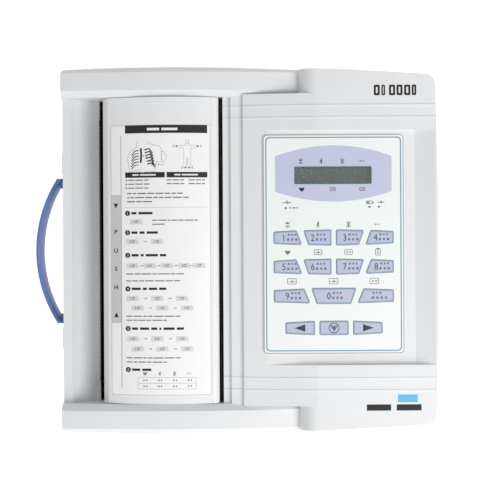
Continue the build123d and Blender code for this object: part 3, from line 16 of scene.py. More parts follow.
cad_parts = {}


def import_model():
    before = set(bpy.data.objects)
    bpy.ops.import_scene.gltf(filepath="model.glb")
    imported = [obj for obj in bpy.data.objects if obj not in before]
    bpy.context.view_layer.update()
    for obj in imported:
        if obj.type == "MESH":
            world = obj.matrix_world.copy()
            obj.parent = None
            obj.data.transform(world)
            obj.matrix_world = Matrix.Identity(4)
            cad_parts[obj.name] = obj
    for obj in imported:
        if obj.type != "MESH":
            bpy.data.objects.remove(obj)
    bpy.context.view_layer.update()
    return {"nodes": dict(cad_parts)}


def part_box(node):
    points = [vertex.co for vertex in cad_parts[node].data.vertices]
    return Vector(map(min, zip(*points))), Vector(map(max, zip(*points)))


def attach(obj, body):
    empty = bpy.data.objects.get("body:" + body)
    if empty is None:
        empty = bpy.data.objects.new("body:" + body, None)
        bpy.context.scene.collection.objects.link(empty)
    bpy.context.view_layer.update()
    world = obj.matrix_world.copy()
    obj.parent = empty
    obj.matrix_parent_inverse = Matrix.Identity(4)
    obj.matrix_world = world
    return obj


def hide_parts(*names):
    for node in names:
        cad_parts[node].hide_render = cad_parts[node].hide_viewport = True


LOG = logging.getLogger("ecg_recorder")
MM = 0.001
Point = tuple[float, float]
Ring = list[Point]
Surface = Callable[[float, float], float]


# ---- shader effects ------------------------------------------------------------------------------
class Effect(Enum):
    """Surface effects that several finishes share."""

    GRAIN = "moulded_grain"
    MOTTLE = "slow_mottle"
    WEAR = "edge_wear"
    DUST = "settled_dust"


class EffectLibrary:
    """Builds each shared effect once and places it in materials."""

    @staticmethod
    def _start(effect: Effect, inputs: dict[str, float], output: str) -> tuple:
        """Make an empty node group.

        Args:
            effect: the effect that the group holds.
            inputs: names of the group's number inputs and their defaults.
            output: name of its one output.

        Returns:
            The group, its input node and its output node.
        """
        group = bpy.data.node_groups.new(effect.value, "ShaderNodeTree")
        for name, value in inputs.items():
            socket = group.interface.new_socket(name, in_out="INPUT", socket_type="NodeSocketFloat")
            socket.default_value = value
        group.interface.new_socket(output, in_out="OUTPUT", socket_type="NodeSocketFloat")
        return group, group.nodes.new("NodeGroupInput"), group.nodes.new("NodeGroupOutput")

    @classmethod
    def _grain(cls) -> bpy.types.NodeTree:
        """Fine pitted height of spark-eroded moulded plastic."""
        group, source, sink = cls._start(Effect.GRAIN, {"Scale": 2500.0}, "Height")
        links = group.links
        place = group.nodes.new("ShaderNodeTexCoord")
        noise = group.nodes.new("ShaderNodeTexNoise")
        noise.inputs["Detail"].default_value = 3.0
        cells = group.nodes.new("ShaderNodeTexVoronoi")
        mix = group.nodes.new("ShaderNodeMath")
        mix.operation = "MULTIPLY_ADD"
        mix.inputs[1].default_value = 0.5
        for texture in (noise, cells):
            links.new(place.outputs["Object"], texture.inputs["Vector"])
            links.new(source.outputs["Scale"], texture.inputs["Scale"])
        links.new(cells.outputs["Distance"], mix.inputs[0])
        links.new(noise.outputs["Fac"], mix.inputs[2])
        links.new(mix.outputs[0], sink.inputs["Height"])
        return group

    @classmethod
    def _mottle(cls) -> bpy.types.NodeTree:
        """Slow uneven mask that breaks up a large plain face."""
        group, source, sink = cls._start(Effect.MOTTLE, {"Scale": 30.0}, "Mask")
        links = group.links
        place = group.nodes.new("ShaderNodeTexCoord")
        noise = group.nodes.new("ShaderNodeTexNoise")
        noise.inputs["Detail"].default_value = 4.0
        links.new(place.outputs["Object"], noise.inputs["Vector"])
        links.new(source.outputs["Scale"], noise.inputs["Scale"])
        links.new(noise.outputs["Fac"], sink.inputs["Mask"])
        return group

    @classmethod
    def _wear(cls) -> bpy.types.NodeTree:
        """Mask that is bright on rubbed outer edges."""
        group, source, sink = cls._start(Effect.WEAR, {"Scale": 300.0, "Amount": 0.5}, "Mask")
        nodes, links = group.nodes, group.links
        shape = nodes.new("ShaderNodeNewGeometry")
        steep = nodes.new("ShaderNodeMapRange")
        steep.inputs["From Min"].default_value = 0.52
        steep.inputs["From Max"].default_value = 0.62
        place = nodes.new("ShaderNodeTexCoord")
        noise = nodes.new("ShaderNodeTexNoise")
        broken = nodes.new("ShaderNodeMath")
        broken.operation = "MULTIPLY"
        scaled = nodes.new("ShaderNodeMath")
        scaled.operation = "MULTIPLY"
        links.new(shape.outputs["Pointiness"], steep.inputs["Value"])
        links.new(place.outputs["Object"], noise.inputs["Vector"])
        links.new(source.outputs["Scale"], noise.inputs["Scale"])
        links.new(steep.outputs["Result"], broken.inputs[0])
        links.new(noise.outputs["Fac"], broken.inputs[1])
        links.new(broken.outputs[0], scaled.inputs[0])
        links.new(source.outputs["Amount"], scaled.inputs[1])
        links.new(scaled.outputs[0], sink.inputs["Mask"])
        return group

    @classmethod
    def _dust(cls) -> bpy.types.NodeTree:
        """Mask of faint dust on faces that look up."""
        group, source, sink = cls._start(Effect.DUST, {"Scale": 120.0, "Amount": 0.1}, "Mask")
        nodes, links = group.nodes, group.links
        shape = nodes.new("ShaderNodeNewGeometry")
        split = nodes.new("ShaderNodeSeparateXYZ")
        upward = nodes.new("ShaderNodeMapRange")
        upward.inputs["From Min"].default_value = 0.4
        place = nodes.new("ShaderNodeTexCoord")
        noise = nodes.new("ShaderNodeTexNoise")
        noise.inputs["Detail"].default_value = 6.0
        patch = nodes.new("ShaderNodeMapRange")
        patch.inputs["From Min"].default_value = 0.45
        patch.inputs["From Max"].default_value = 0.75
        lying = nodes.new("ShaderNodeMath")
        lying.operation = "MULTIPLY"
        scaled = nodes.new("ShaderNodeMath")
        scaled.operation = "MULTIPLY"
        links.new(shape.outputs["Normal"], split.inputs[0])
        links.new(split.outputs["Z"], upward.inputs["Value"])
        links.new(place.outputs["Object"], noise.inputs["Vector"])
        links.new(source.outputs["Scale"], noise.inputs["Scale"])
        links.new(noise.outputs["Fac"], patch.inputs["Value"])
        links.new(upward.outputs["Result"], lying.inputs[0])
        links.new(patch.outputs["Result"], lying.inputs[1])
        links.new(lying.outputs[0], scaled.inputs[0])
        links.new(source.outputs["Amount"], scaled.inputs[1])
        links.new(scaled.outputs[0], sink.inputs["Mask"])
        return group

    @classmethod
    def place(cls, tree: bpy.types.NodeTree, effect: Effect, **values: float) -> bpy.types.NodeSocket:
        """Place an effect in a material.

        Args:
            tree: the material's node tree.
            effect: which effect.
            values: the group's inputs by name.

        Returns:
            The effect's output socket.
        """
        makers = {Effect.GRAIN: cls._grain, Effect.MOTTLE: cls._mottle, Effect.WEAR: cls._wear,
                  Effect.DUST: cls._dust}
        group = bpy.data.node_groups.get(effect.value) or makers[effect]()
        node = tree.nodes.new("ShaderNodeGroup")
        node.node_tree = group
        for name, value in values.items():
            node.inputs[name].default_value = value
        return node.outputs[0]


# ---- finishes ------------------------------------------------------------------------------------
@dataclass(frozen=True)
class Finish:
    """One finish: base colour, gloss and how strongly each shared effect shows."""

    name: str
    colour: tuple[float, float, float]
    roughness: float = 0.45
    metallic: float = 0.0
    grain_scale: float = 2200.0
    grain_depth: float = 0.00004
    mottle: float = 0.03
    wear: float = 0.0
    dust: float = 0.0
    coat: float = 0.0
    transmission: float = 0.0
    specular: float = 0.5

    def material(self) -> bpy.types.Material:
        """Build the material, or return it if it is already built."""
        name = f"{self.name}_finish"  # the frame has plain materials of its own with some of these names
        found = bpy.data.materials.get(name)
        if found:
            return found
        material = bpy.data.materials.new(name)
        material.use_nodes = True
        tree = material.node_tree
        shader = tree.nodes["Principled BSDF"]
        shader.inputs["Metallic"].default_value = self.metallic
        shader.inputs["Coat Weight"].default_value = self.coat
        shader.inputs["Transmission Weight"].default_value = self.transmission
        shader.inputs["Specular IOR Level"].default_value = self.specular
        colour = self._colour(tree)
        tree.links.new(colour, shader.inputs["Base Color"])
        tree.links.new(self._roughness(tree), shader.inputs["Roughness"])
        bump = tree.nodes.new("ShaderNodeBump")
        bump.inputs["Distance"].default_value = self.grain_depth
        bump.inputs["Strength"].default_value = 0.6
        grain = EffectLibrary.place(tree, Effect.GRAIN, Scale=self.grain_scale)
        tree.links.new(grain, bump.inputs["Height"])
        tree.links.new(bump.outputs["Normal"], shader.inputs["Normal"])
        return material

    def _colour(self, tree: bpy.types.NodeTree) -> bpy.types.NodeSocket:
        """Base colour with mottle, rubbed edges and dust laid over it."""
        darker = tuple(c * (1.0 - self.mottle) for c in self.colour)
        lighter = tuple(min(1.0, c * (1.0 + self.mottle)) for c in self.colour)
        mask = EffectLibrary.place(tree, Effect.MOTTLE, Scale=25.0)
        colour = self._blend(tree, mask, (*darker, 1.0), (*lighter, 1.0))
        if self.wear:
            rubbed = tuple(min(1.0, c * 1.15 + 0.05) for c in self.colour)
            edge = EffectLibrary.place(tree, Effect.WEAR, Amount=self.wear)
            colour = self._blend(tree, edge, colour, (*rubbed, 1.0))
        if self.dust:
            fluff = EffectLibrary.place(tree, Effect.DUST, Amount=self.dust)
            colour = self._blend(tree, fluff, colour, (0.62, 0.6, 0.57, 1.0))
        return colour

    def _roughness(self, tree: bpy.types.NodeTree) -> bpy.types.NodeSocket:
        """Roughness that varies a little over the surface."""
        spread = tree.nodes.new("ShaderNodeMapRange")
        spread.inputs["To Min"].default_value = max(0.02, self.roughness - 0.06)
        spread.inputs["To Max"].default_value = min(1.0, self.roughness + 0.06)
        mask = EffectLibrary.place(tree, Effect.MOTTLE, Scale=90.0)
        tree.links.new(mask, spread.inputs["Value"])
        return spread.outputs["Result"]

    @staticmethod
    def _blend(tree: bpy.types.NodeTree, mask: bpy.types.NodeSocket, low: object,
               high: object) -> bpy.types.NodeSocket:
        """Mix two colours or colour sockets by a mask."""
        mix = tree.nodes.new("ShaderNodeMix")
        mix.data_type = "RGBA"
        tree.links.new(mask, mix.inputs["Factor"])
        for socket, value in ((mix.inputs[6], low), (mix.inputs[7], high)):
            if isinstance(value, bpy.types.NodeSocket):
                tree.links.new(value, socket)
            else:
                socket.default_value = value
        return mix.outputs[2]


CASE = Finish("case_white", (0.78, 0.79, 0.80), 0.5, wear=0.3, dust=0.03, grain_depth=0.00003)
COVER = Finish("cover_white", (0.80, 0.81, 0.82), 0.48, wear=0.3, dust=0.03, grain_depth=0.00003)
PANEL = Finish("panel_film", (0.88, 0.92, 0.91), 0.38, grain_scale=3500.0, grain_depth=0.00001)
KEY = Finish("key_lavender", (0.52, 0.55, 0.69), 0.4, grain_scale=3500.0, grain_depth=0.00001)
GLASS = Finish("display_window", (0.75, 0.8, 0.8), 0.08, mottle=0.01, transmission=0.9, grain_depth=0.0)
DISPLAY = Finish("display_glass", (0.062, 0.08, 0.088), 0.22, grain_depth=0.0, mottle=0.12)
LENS = Finish("indicator_lens", (0.16, 0.2, 0.17), 0.25, grain_depth=0.0)
STRAP = Finish("strap_blue", (0.12, 0.21, 0.50), 0.42, wear=0.35, dust=0.05, grain_scale=1800.0)
RUBBER = Finish("rubber_black", (0.02, 0.02, 0.021), 0.75, dust=0.06, specular=0.3)
STEEL = Finish("steel", (0.56, 0.57, 0.58), 0.32, metallic=1.0, grain_scale=900.0, grain_depth=0.00001)
# painted shade: the tear bar is real steel, coloured near black for the shade that the cover's edge casts on
# it
SHADED_STEEL = Finish("steel_painted_shade", (0.03, 0.03, 0.032), 0.45, metallic=0.6)
ALUMINIUM = Finish("aluminium", (0.72, 0.73, 0.74), 0.38, metallic=1.0, grain_scale=1200.0)
BRASS = Finish("brass", (0.72, 0.52, 0.22), 0.3, metallic=1.0, grain_depth=0.00001)
BOARD = Finish("solder_mask", (0.015, 0.13, 0.05), 0.3, mottle=0.2, coat=0.3)
ACETAL = Finish("acetal", (0.74, 0.71, 0.6), 0.36)
BLACK = Finish("black_plastic", (0.018, 0.018, 0.02), 0.5, dust=0.1)
CERAMIC = Finish("glazed_ceramic", (0.55, 0.5, 0.4), 0.2, grain_depth=0.0, coat=0.5)
PAPER = Finish("thermal_paper", (0.82, 0.78, 0.76), 0.7, grain_scale=1500.0)
BATTERY = Finish("battery_wrap", (0.03, 0.12, 0.4), 0.25)

NODE_FINISHES: dict[str, Finish] = {
    "top_case": CASE, "bottom_case": CASE, "battery_hatch": CASE, "paper_cover": COVER,
    "keypad_panel": PANEL, "display_window": GLASS, "display_glass": DISPLAY, "indicator_lights": LENS,
    "handle_strap": STRAP, "rubber_feet": RUBBER, "platen_rubber": RUBBER, "case_screws": STEEL,
    "display_bezel": STEEL, "key_domes": STEEL, "printer_frame": STEEL, "head_pivot_rod": STEEL,
    "tear_bar": SHADED_STEEL, "stepper_motor": STEEL, "platen_shaft": STEEL, "latch_spring": STEEL,
    "hinge_pins": STEEL, "latch_striker": STEEL, "handle_pins": STEEL, "serial_port": STEEL,
    "patient_connector": STEEL, "power_supply": ALUMINIUM, "head_bracket": ALUMINIUM,
    "motor_pinion": BRASS, "platen_bushes": BRASS, "earth_stud": BRASS, "key_board": BOARD,
    "main_board": BOARD, "idler_gear": ACETAL, "platen_gear": ACETAL, "roll_spindle": ACETAL,
    "latch_plunger": ACETAL, "buzzer": BLACK, "paper_tray": BLACK, "latch_body": BLACK,
    "mains_inlet": BLACK, "switch_housing": BLACK, "power_rocker": BLACK, "thermal_head": CERAMIC,
    "paper_roll": PAPER, "battery_pack": BATTERY,
}


def ink(name: str, colour: tuple[float, float, float], roughness: float = 0.5) -> Finish:
    """Printing ink: a finish with a fine film grain and a little mottle."""
    return Finish(f"ink_{name}", colour, roughness, grain_scale=4000.0, grain_depth=0.000004, mottle=0.04)


BLACK_INK = ink("black", (0.012, 0.012, 0.014))
GREY_INK = ink("grey", (0.2, 0.2, 0.21))
PALE_INK = ink("pale", (0.45, 0.45, 0.46))
WHITE_INK = ink("white", (0.86, 0.87, 0.87))
LABEL_STOCK = ink("label_stock", (0.92, 0.92, 0.93), 0.4)
WARM_STOCK = ink("warm_stock", (0.62, 0.61, 0.60), 0.4)
FRAME_INK = ink("frame_blue", (0.21, 0.36, 0.45))
# painted shade: grey-brown band round the keypad film's outer edge, standing for the shade at the film's
# raised edge
EDGE_SHADE_INK = ink("edge_shade", (0.40, 0.38, 0.36))
LAVENDER_INK = ink("lavender", (0.56, 0.58, 0.76))
OUTLINE_INK = ink("key_outline", (0.26, 0.36, 0.5))
SLATE_INK = ink("slate", (0.035, 0.05, 0.09))
KEY_TEXT_INK = ink("key_text", (0.16, 0.17, 0.26))
SKY_INK = ink("sky", (0.45, 0.6, 0.72))


# ---- printed artwork -----------------------------------------------------------------------------
@dataclass
class Artwork:
    """Flat marks in millimetres about a centre, laid over a surface as one thin mesh."""

    name: str
    body: str
    surface: Surface
    centre: Point = (0.0, 0.0)
    lift: float = 0.05
    step: float = 0.0
    marks: list[tuple[Finish, int, Ring]] = field(default_factory=list)

    def patch(self, finish: Finish, ring: Ring, layer: int = 0) -> None:
        """Fill one closed ring of points."""
        self.marks.append((finish, layer, ring))

    def bar(self, finish: Finish, x0: float, y0: float, x1: float, y1: float, layer: int = 0) -> None:
        """Fill a rectangle between two corners."""
        self.patch(finish, [(x0, y0), (x1, y0), (x1, y1), (x0, y1)], layer)

    def disc(self, finish: Finish, x: float, y: float, radius: float, layer: int = 0) -> None:
        """Fill a circle."""
        self.patch(finish, circle(x, y, radius), layer)

    def loop(self, finish: Finish, outer: Ring, inner: Ring, layer: int = 0) -> None:
        """Fill the band between two rings with the same number of points."""
        count = len(outer)
        for index in range(count):
            after = (index + 1) % count
            self.patch(finish, [outer[index], outer[after], inner[after], inner[index]], layer)

    def stroke(self, finish: Finish, points: Ring, width: float, layer: int = 0,
               closed: bool = False) -> None:
        """Draw a line of even width through points.

        Args:
            finish: the ink.
            points: the line's corners.
            width: its width.
            layer: how far up the stack of inks it lies.
            closed: whether it returns to its first point.
        """
        runs = list(zip(points, points[1:] + points[:1] if closed else points[1:]))
        for (ax, ay), (bx, by) in runs:
            length = math.hypot(bx - ax, by - ay) or 1.0
            nx, ny = -(by - ay) / length * width / 2, (bx - ax) / length * width / 2
            ex, ey = (bx - ax) / length * width * 0.3, (by - ay) / length * width * 0.3
            self.patch(finish, [(ax - ex - nx, ay - ey - ny), (bx + ex - nx, by + ey - ny),
                                (bx + ex + nx, by + ey + ny), (ax - ex + nx, ay - ey + ny)], layer)

    def letters(self, finish: Finish, text: str, x: float, y: float, height: float, layer: int = 0,
                narrow: float = 1.0, weight: float = 0.0) -> None:
        """Set digits or a plain word, centred on a point.

        Args:
            finish: the ink.
            text: what to set.
            x: middle of the text.
            y: middle of the text.
            height: height of a capital.
            layer: how far up the stack of inks it lies.
            narrow: width of the letters over their usual width.
            weight: how much each stroke swells, in letter heights.
        """
        curve = bpy.data.curves.new("letters", "FONT")
        curve.body = text
        curve.align_x = "CENTER"
        curve.offset = weight
        curve.resolution_u = 3
        holder = bpy.data.objects.new("letters", curve)
        mesh = bpy.data.meshes.new_from_object(holder)
        top = max(v.co.y for v in mesh.vertices)
        low = min(v.co.y for v in mesh.vertices)
        middle = (max(v.co.x for v in mesh.vertices) + min(v.co.x for v in mesh.vertices)) / 2
        scale = height / (top - low)
        for face in mesh.polygons:
            ring = [((mesh.vertices[i].co.x - middle) * scale * narrow + x,
                     (mesh.vertices[i].co.y - (top + low) / 2) * scale + y) for i in face.vertices]
            self.patch(finish, ring, layer)
        bpy.data.objects.remove(holder)
        bpy.data.curves.remove(curve)
        bpy.data.meshes.remove(mesh)

    def words(self, finish: Finish, x: float, y: float, height: float, lengths: list[float],
              layer: int = 0) -> None:
        """Greeked line of text: a dash for each word, left end at x."""
        for length in lengths:
            self.bar(finish, x, y - height / 2, x + length, y + height / 2, layer)
            x += length + height * 0.9

    def build(self) -> bpy.types.Object:
        """Make the mesh, bend it over the surface and hand it to its body."""
        finishes: list[Finish] = []
        shape = bmesh.new()
        depth = shape.verts.layers.float.new("layer")
        for finish, layer, ring in self.marks:
            if finish not in finishes:
                finishes.append(finish)
            corners = []
            for x, y in ring:
                corner = shape.verts.new((x, y, 0.0))
                corner[depth] = layer
                corners.append(corner)
            face = shape.faces.new(corners)
            face.normal_update()
            if face.normal.z < 0:
                face.normal_flip()
            face.material_index = finishes.index(finish)
        if self.step:
            self._slice(shape)
        for corner in shape.verts:
            x, y = corner.co.x + self.centre[0], corner.co.y + self.centre[1]
            z = self.surface(x, y) + self.lift + 0.02 * corner[depth]
            corner.co = Vector((x, y, z)) * MM
        mesh = bpy.data.meshes.new(self.name)
        shape.to_mesh(mesh)
        shape.free()
        for finish in finishes:
            mesh.materials.append(finish.material())
        piece = bpy.data.objects.new(self.name, mesh)
        bpy.context.scene.collection.objects.link(piece)
        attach(piece, self.body)
        LOG.info("%s: %d marks", self.name, len(self.marks))
        return piece

    def _slice(self, shape: bmesh.types.BMesh) -> None:
        """Cut the marks across X so that they can follow an arched surface."""
        xs = [corner.co.x for corner in shape.verts]
        place = math.floor(min(xs) / self.step) * self.step
        while place < max(xs):
            parts = shape.verts[:] + shape.edges[:] + shape.faces[:]
            bmesh.ops.bisect_plane(shape, geom=parts, plane_co=(place, 0, 0), plane_no=(1, 0, 0))
            place += self.step


def circle(x: float, y: float, radius: float, count: int = 24) -> Ring:
    """Ring of points round a centre."""
    turns = [2 * math.pi * index / count for index in range(count)]
    return [(x + radius * math.cos(turn), y + radius * math.sin(turn)) for turn in turns]


def rounded(x: float, y: float, width: float, height: float, corner: float, count: int = 5) -> Ring:
    """Rectangle with round corners about a centre."""
    ring: Ring = []
    for side_x, side_y, start in ((1, 1, 0.0), (-1, 1, 90.0), (-1, -1, 180.0), (1, -1, 270.0)):
        middle_x = x + side_x * (width / 2 - corner)
        middle_y = y + side_y * (height / 2 - corner)
        for index in range(count + 1):
            turn = math.radians(start + 90.0 * index / count)
            ring.append((middle_x + corner * math.cos(turn), middle_y + corner * math.sin(turn)))
    return ring


def shrink(ring: Ring, amount: float) -> Ring:
    """Move each corner of a convex ring inwards along its mitre."""
    area = sum(ax * by - bx * ay for (ax, ay), (bx, by) in zip(ring, ring[1:] + ring[:1]))
    hand = 1.0 if area > 0 else -1.0
    count = len(ring)
    result: Ring = []
    for index in range(count):
        before, here, after = (Vector(ring[i % count]) for i in (index - 1, index, index + 1))
        first = (here - before).normalized()
        second = (after - here).normalized()
        normal_a = Vector((-first.y, first.x)) * hand
        normal_b = Vector((-second.y, second.x)) * hand
        mitre = (normal_a + normal_b).normalized()
        reach = amount / max(0.3, mitre.dot(normal_a))
        result.append((here.x + mitre.x * reach, here.y + mitre.y * reach))
    return result


def soften(ring: Ring, corner: float, count: int = 3) -> Ring:
    """Round the corners of a convex ring."""
    result: Ring = []
    size = len(ring)
    for index in range(size):
        here = Vector(ring[index])
        back = (Vector(ring[index - 1]) - here).normalized() * corner
        onward = (Vector(ring[(index + 1) % size]) - here).normalized() * corner
        for step in range(count + 1):
            t = step / count
            point = here + back * (1 - t) ** 2 + onward * t ** 2
            result.append((point.x, point.y))
    return result


# ---- icons ---------------------------------------------------------------------------------------
class Icon(Enum):
    """Plain pictograms printed on the keypad and the guide."""

    HEART = "heart"
    TRACE = "trace"
    SHEET = "sheet"
    CARD = "card"
    RUNNER = "runner"
    FAN = "fan"
    TAG = "tag"
    CLIP = "clip"
    BATTERY = "battery"
    STAND = "stand"


def trace_points(x: float, y: float, width: float, height: float) -> Ring:
    """One heartbeat: flat, small wave, tall spike, flat."""
    beats = ((-0.5, 0), (-0.25, 0), (-0.17, 0.2), (-0.09, 0), (-0.04, -0.2), (0.03, 1.0), (0.1, -0.45),
             (0.16, 0), (0.27, 0.25), (0.36, 0), (0.5, 0))
    return [(x + width * a, y + height * b) for a, b in beats]


def draw_icon(art: Artwork, icon: Icon, x: float, y: float, size: float, finish: Finish,
              line: float = 0.5) -> None:
    """Draw a pictogram.

    Args:
        art: artwork that takes the marks.
        icon: which pictogram.
        x: its middle.
        y: its middle.
        size: its width.
        finish: its ink.
        line: width of its lines.
    """
    half = size / 2

    def at(*places: Point) -> Ring:
        """Points given in half widths from the middle."""
        return [(x + half * a, y + half * b) for a, b in places]

    if icon is Icon.HEART:
        lobes = [(x + half * 0.95 * math.sin(t) ** 3,
                  y + half * (0.75 * math.cos(t) - 0.3 * math.cos(2 * t) - 0.12 * math.cos(3 * t)))
                 for t in (2 * math.pi * i / 20 for i in range(20))]
        art.patch(finish, lobes, 3)
    elif icon is Icon.TRACE:
        art.stroke(finish, trace_points(x, y, size * 1.4, size * 0.35), line, 3)
    elif icon in (Icon.SHEET, Icon.CARD):
        ring = rounded(x, y, size, size * 0.66, size * 0.1, 2)
        art.loop(finish, ring, shrink(ring, line), 3)
        if icon is Icon.SHEET:
            art.stroke(finish, trace_points(x, y - size * 0.05, size * 0.7, size * 0.22), line * 0.8, 3)
        else:
            art.bar(finish, x - half * 0.55, y - line, x - half * 0.1, y + line, 3)
            art.bar(finish, x + half * 0.15, y - line, x + half * 0.6, y + line, 3)
    elif icon is Icon.RUNNER:
        art.disc(finish, x + half * 0.2, y + half * 0.75, half * 0.24, 3)
        art.stroke(finish, at((0.1, 0.45), (-0.05, -0.15)), line * 2, 3)
        art.stroke(finish, at((-0.05, -0.1), (0.3, -0.45), (0.15, -0.95)), line * 1.2, 3)
        art.stroke(finish, at((-0.05, -0.1), (-0.45, -0.85)), line * 1.2, 3)
        art.stroke(finish, at((-0.5, 0.1), (0.0, 0.35), (0.45, 0.1)), line, 3)
    elif icon in (Icon.FAN, Icon.STAND):
        for turn in (50, 90, 130, 230, 270, 310):
            cx, cy = math.cos(math.radians(turn)), math.sin(math.radians(turn))
            art.stroke(finish, at((cx * 0.35, cy * 0.35), (cx, cy)), line * 1.3, 3)
        if icon is Icon.FAN:
            art.disc(finish, x, y, half * 0.26, 3)
        else:
            art.bar(finish, x - half * 0.5, y + half * 0.2, x + half * 0.5, y + half * 0.45, 3)
    elif icon is Icon.TAG:
        for index, length in enumerate((0.9, 0.5, 0.6)):
            start = x - half + index * half * 0.68
            art.bar(finish, start, y - line * 1.2, start + half * 0.45 * length, y + line * 1.2, 3)
    elif icon is Icon.CLIP:
        ring = rounded(x, y, size * 0.66, size * 0.85, size * 0.12, 2)
        art.loop(finish, ring, shrink(ring, line), 3)
        art.bar(finish, x - half * 0.3, y + half * 0.6, x + half * 0.3, y + half * 0.95, 3)
        for row in (0.25, -0.05, -0.35):
            level = y + half * row
            art.bar(finish, x - half * 0.3, level - line / 2, x + half * 0.3, level + line / 2, 3)
    elif icon is Icon.BATTERY:
        ring = rounded(x, y, size * 0.9, size * 0.45, size * 0.08, 2)
        art.loop(finish, ring, shrink(ring, line), 3)
        art.bar(finish, x + half * 0.9, y - size * 0.1, x + half * 1.05, y + size * 0.1, 3)
        art.bar(finish, x - half * 0.7, y - size * 0.1, x, y + size * 0.1, 3)


# ---- keypad --------------------------------------------------------------------------------------
@dataclass
class Keypad:
    """Printed keypad film, display surround and the legends on its keys."""

    edge_width: float = 0.7
    white_width: float = 1.2
    frame_width: float = 1.0
    frame_corner: float = 3.4
    lens_half: float = 47.0
    lens_side: tuple[float, float] = (42.4, 70.9)
    lens_arc: tuple[float, float] = (34.2, 79.6)
    display_rim: float = 1.0
    outline_width: float = 0.75
    digit_height: float = 5.4
    display_rise: float = 55.5

    def __post_init__(self) -> None:
        """Read the panel's place from the frame."""
        low, high = (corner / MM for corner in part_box("keypad_panel"))
        self.middle: Point = ((low.x + high.x) / 2, (low.y + high.y) / 2)
        self.size: Point = (high.x - low.x, high.y - low.y)
        self.top = high.z

    def dress(self) -> None:
        """Print the film and every key."""
        film = Artwork("keypad_print", "case", lambda x, y: self.top, self.middle, lift=0.02)
        self._border(film)
        self._lens(film)
        self._legends(film)
        film.build()
        self._display()
        for name in [n for n in NODE_NAMES if n.startswith("key_") and n not in ("key_board", "key_domes")]:
            self._key(name)

    def _border(self, film: Artwork) -> None:
        """Painted shade band round the film's outer edge, then the printed white line and blue line."""
        inset = 0.0
        for finish, width in ((EDGE_SHADE_INK, self.edge_width), (WHITE_INK, self.white_width),
                              (FRAME_INK, self.frame_width)):
            outer = rounded(0, 0, self.size[0] - 2 * inset, self.size[1] - 2 * inset, self.frame_corner)
            inset += width
            inner = rounded(0, 0, self.size[0] - 2 * inset, self.size[1] - 2 * inset, self.frame_corner - 0.8)
            film.loop(finish, outer, inner)

    def _lens(self, film: Artwork) -> None:
        """Lavender field round the display with arched ends, cut out round the window."""
        count = 24
        top_side = self.lens_side[1]
        low_side = self.lens_side[0]
        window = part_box("display_window")
        low = window[0] / MM
        high = window[1] / MM
        x0, x1 = low.x - self.middle[0], high.x - self.middle[0]
        y0, y1 = low.y - self.middle[1], high.y - self.middle[1]
        for index in range(count):
            a = -self.lens_half + 2 * self.lens_half * index / count
            b = -self.lens_half + 2 * self.lens_half * (index + 1) / count
            arc = [(1 - (x / self.lens_half) ** 2) for x in (a, b)]
            tops = [top_side + (self.lens_arc[1] - top_side) * value for value in arc]
            lows = [low_side + (self.lens_arc[0] - low_side) * value for value in arc]
            film.patch(LAVENDER_INK, [(a, y1), (b, y1), (b, tops[1]), (a, tops[0])])
            film.patch(LAVENDER_INK, [(a, lows[0]), (b, lows[1]), (b, y0), (a, y0)])
        film.bar(LAVENDER_INK, -self.lens_half, y0, x0, y1)
        film.bar(LAVENDER_INK, x1, y0, self.lens_half, y1)
        rim = self.display_rim
        outer = rounded((x0 + x1) / 2, (y0 + y1) / 2, x1 - x0 + 2 * rim, y1 - y0 + 2 * rim, 1.4)
        inner = rounded((x0 + x1) / 2, (y0 + y1) / 2, x1 - x0, y1 - y0, 0.9)
        film.loop(SKY_INK, outer, inner, 1)

    def _legends(self, film: Artwork) -> None:
        """Pictograms round the display, over the key rows and beside the indicators."""
        above = ((-26.3, Icon.STAND), (-9.8, Icon.RUNNER), (7.3, Icon.FAN), (23.6, Icon.TAG))
        for x, icon in above:
            draw_icon(film, icon, x, 66.8, 4.6, GREY_INK)
        for x, icon in ((-25.5, Icon.HEART), (-0.6, Icon.CARD), (23.3, Icon.CARD)):
            draw_icon(film, icon, x, 44.2, 4.6, BLACK_INK if icon is Icon.HEART else GREY_INK)
        draw_icon(film, Icon.TRACE, -37.6, 33.4, 5.0, GREY_INK)
        draw_icon(film, Icon.BATTERY, 29.1, 33.4, 6.0, GREY_INK)
        draw_icon(film, Icon.TRACE, 38.2, 33.4, 4.0, GREY_INK)
        film.words(GREY_INK, -35.5, 29.3, 1.0, [1.6, 2.4, 1.2], 2)
        rows = ((15.7, (-37.1, -12.6, 12.0, 35.7), (Icon.STAND, Icon.RUNNER, Icon.FAN, Icon.TAG), 5.2),
                (-6.6, (-37.1, -12.6, 12.0, 35.7), (Icon.HEART, Icon.SHEET, Icon.CARD, Icon.CLIP), 6.6),
                (-30.0, (-33.8, -0.1, 32.7), (Icon.SHEET, Icon.SHEET, Icon.CARD), 7.4))
        for y, places, icons, size in rows:
            for x, icon in zip(places, icons):
                draw_icon(film, icon, x, y, size * (0.7 if icon is Icon.HEART else 1.0), GREY_INK, 0.45)

    def _display(self) -> None:
        """Painted shadow on the thin glass sheet's right end, along the window's right edge, and its faint
        character cells.
        """
        low, high = (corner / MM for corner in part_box("display_glass"))
        cells = Artwork("display_cells", "case", lambda x, y: high.z, lift=0.02)
        window = [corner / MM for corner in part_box("display_window")]
        # painted shadow: black band 3.2 mm wide along the window's right edge, where the window's edge shades
        # the glass
        cells.bar(BLACK_INK, window[1].x - 3.2, low.y, high.x, high.y)
        pitch = (window[1].x - window[0].x - 5.0) / 16
        cell = Finish("display_cell", (0.12, 0.15, 0.155), 0.2, grain_depth=0.0)
        for row in (0, 1):
            for column in range(16):
                x = window[0].x + 1.2 + column * pitch
                y = window[0].y + 1.2 + row * 6.0
                cells.bar(cell, x, y, x + pitch * 0.82, y + 5.2, 1)
        cells.build()

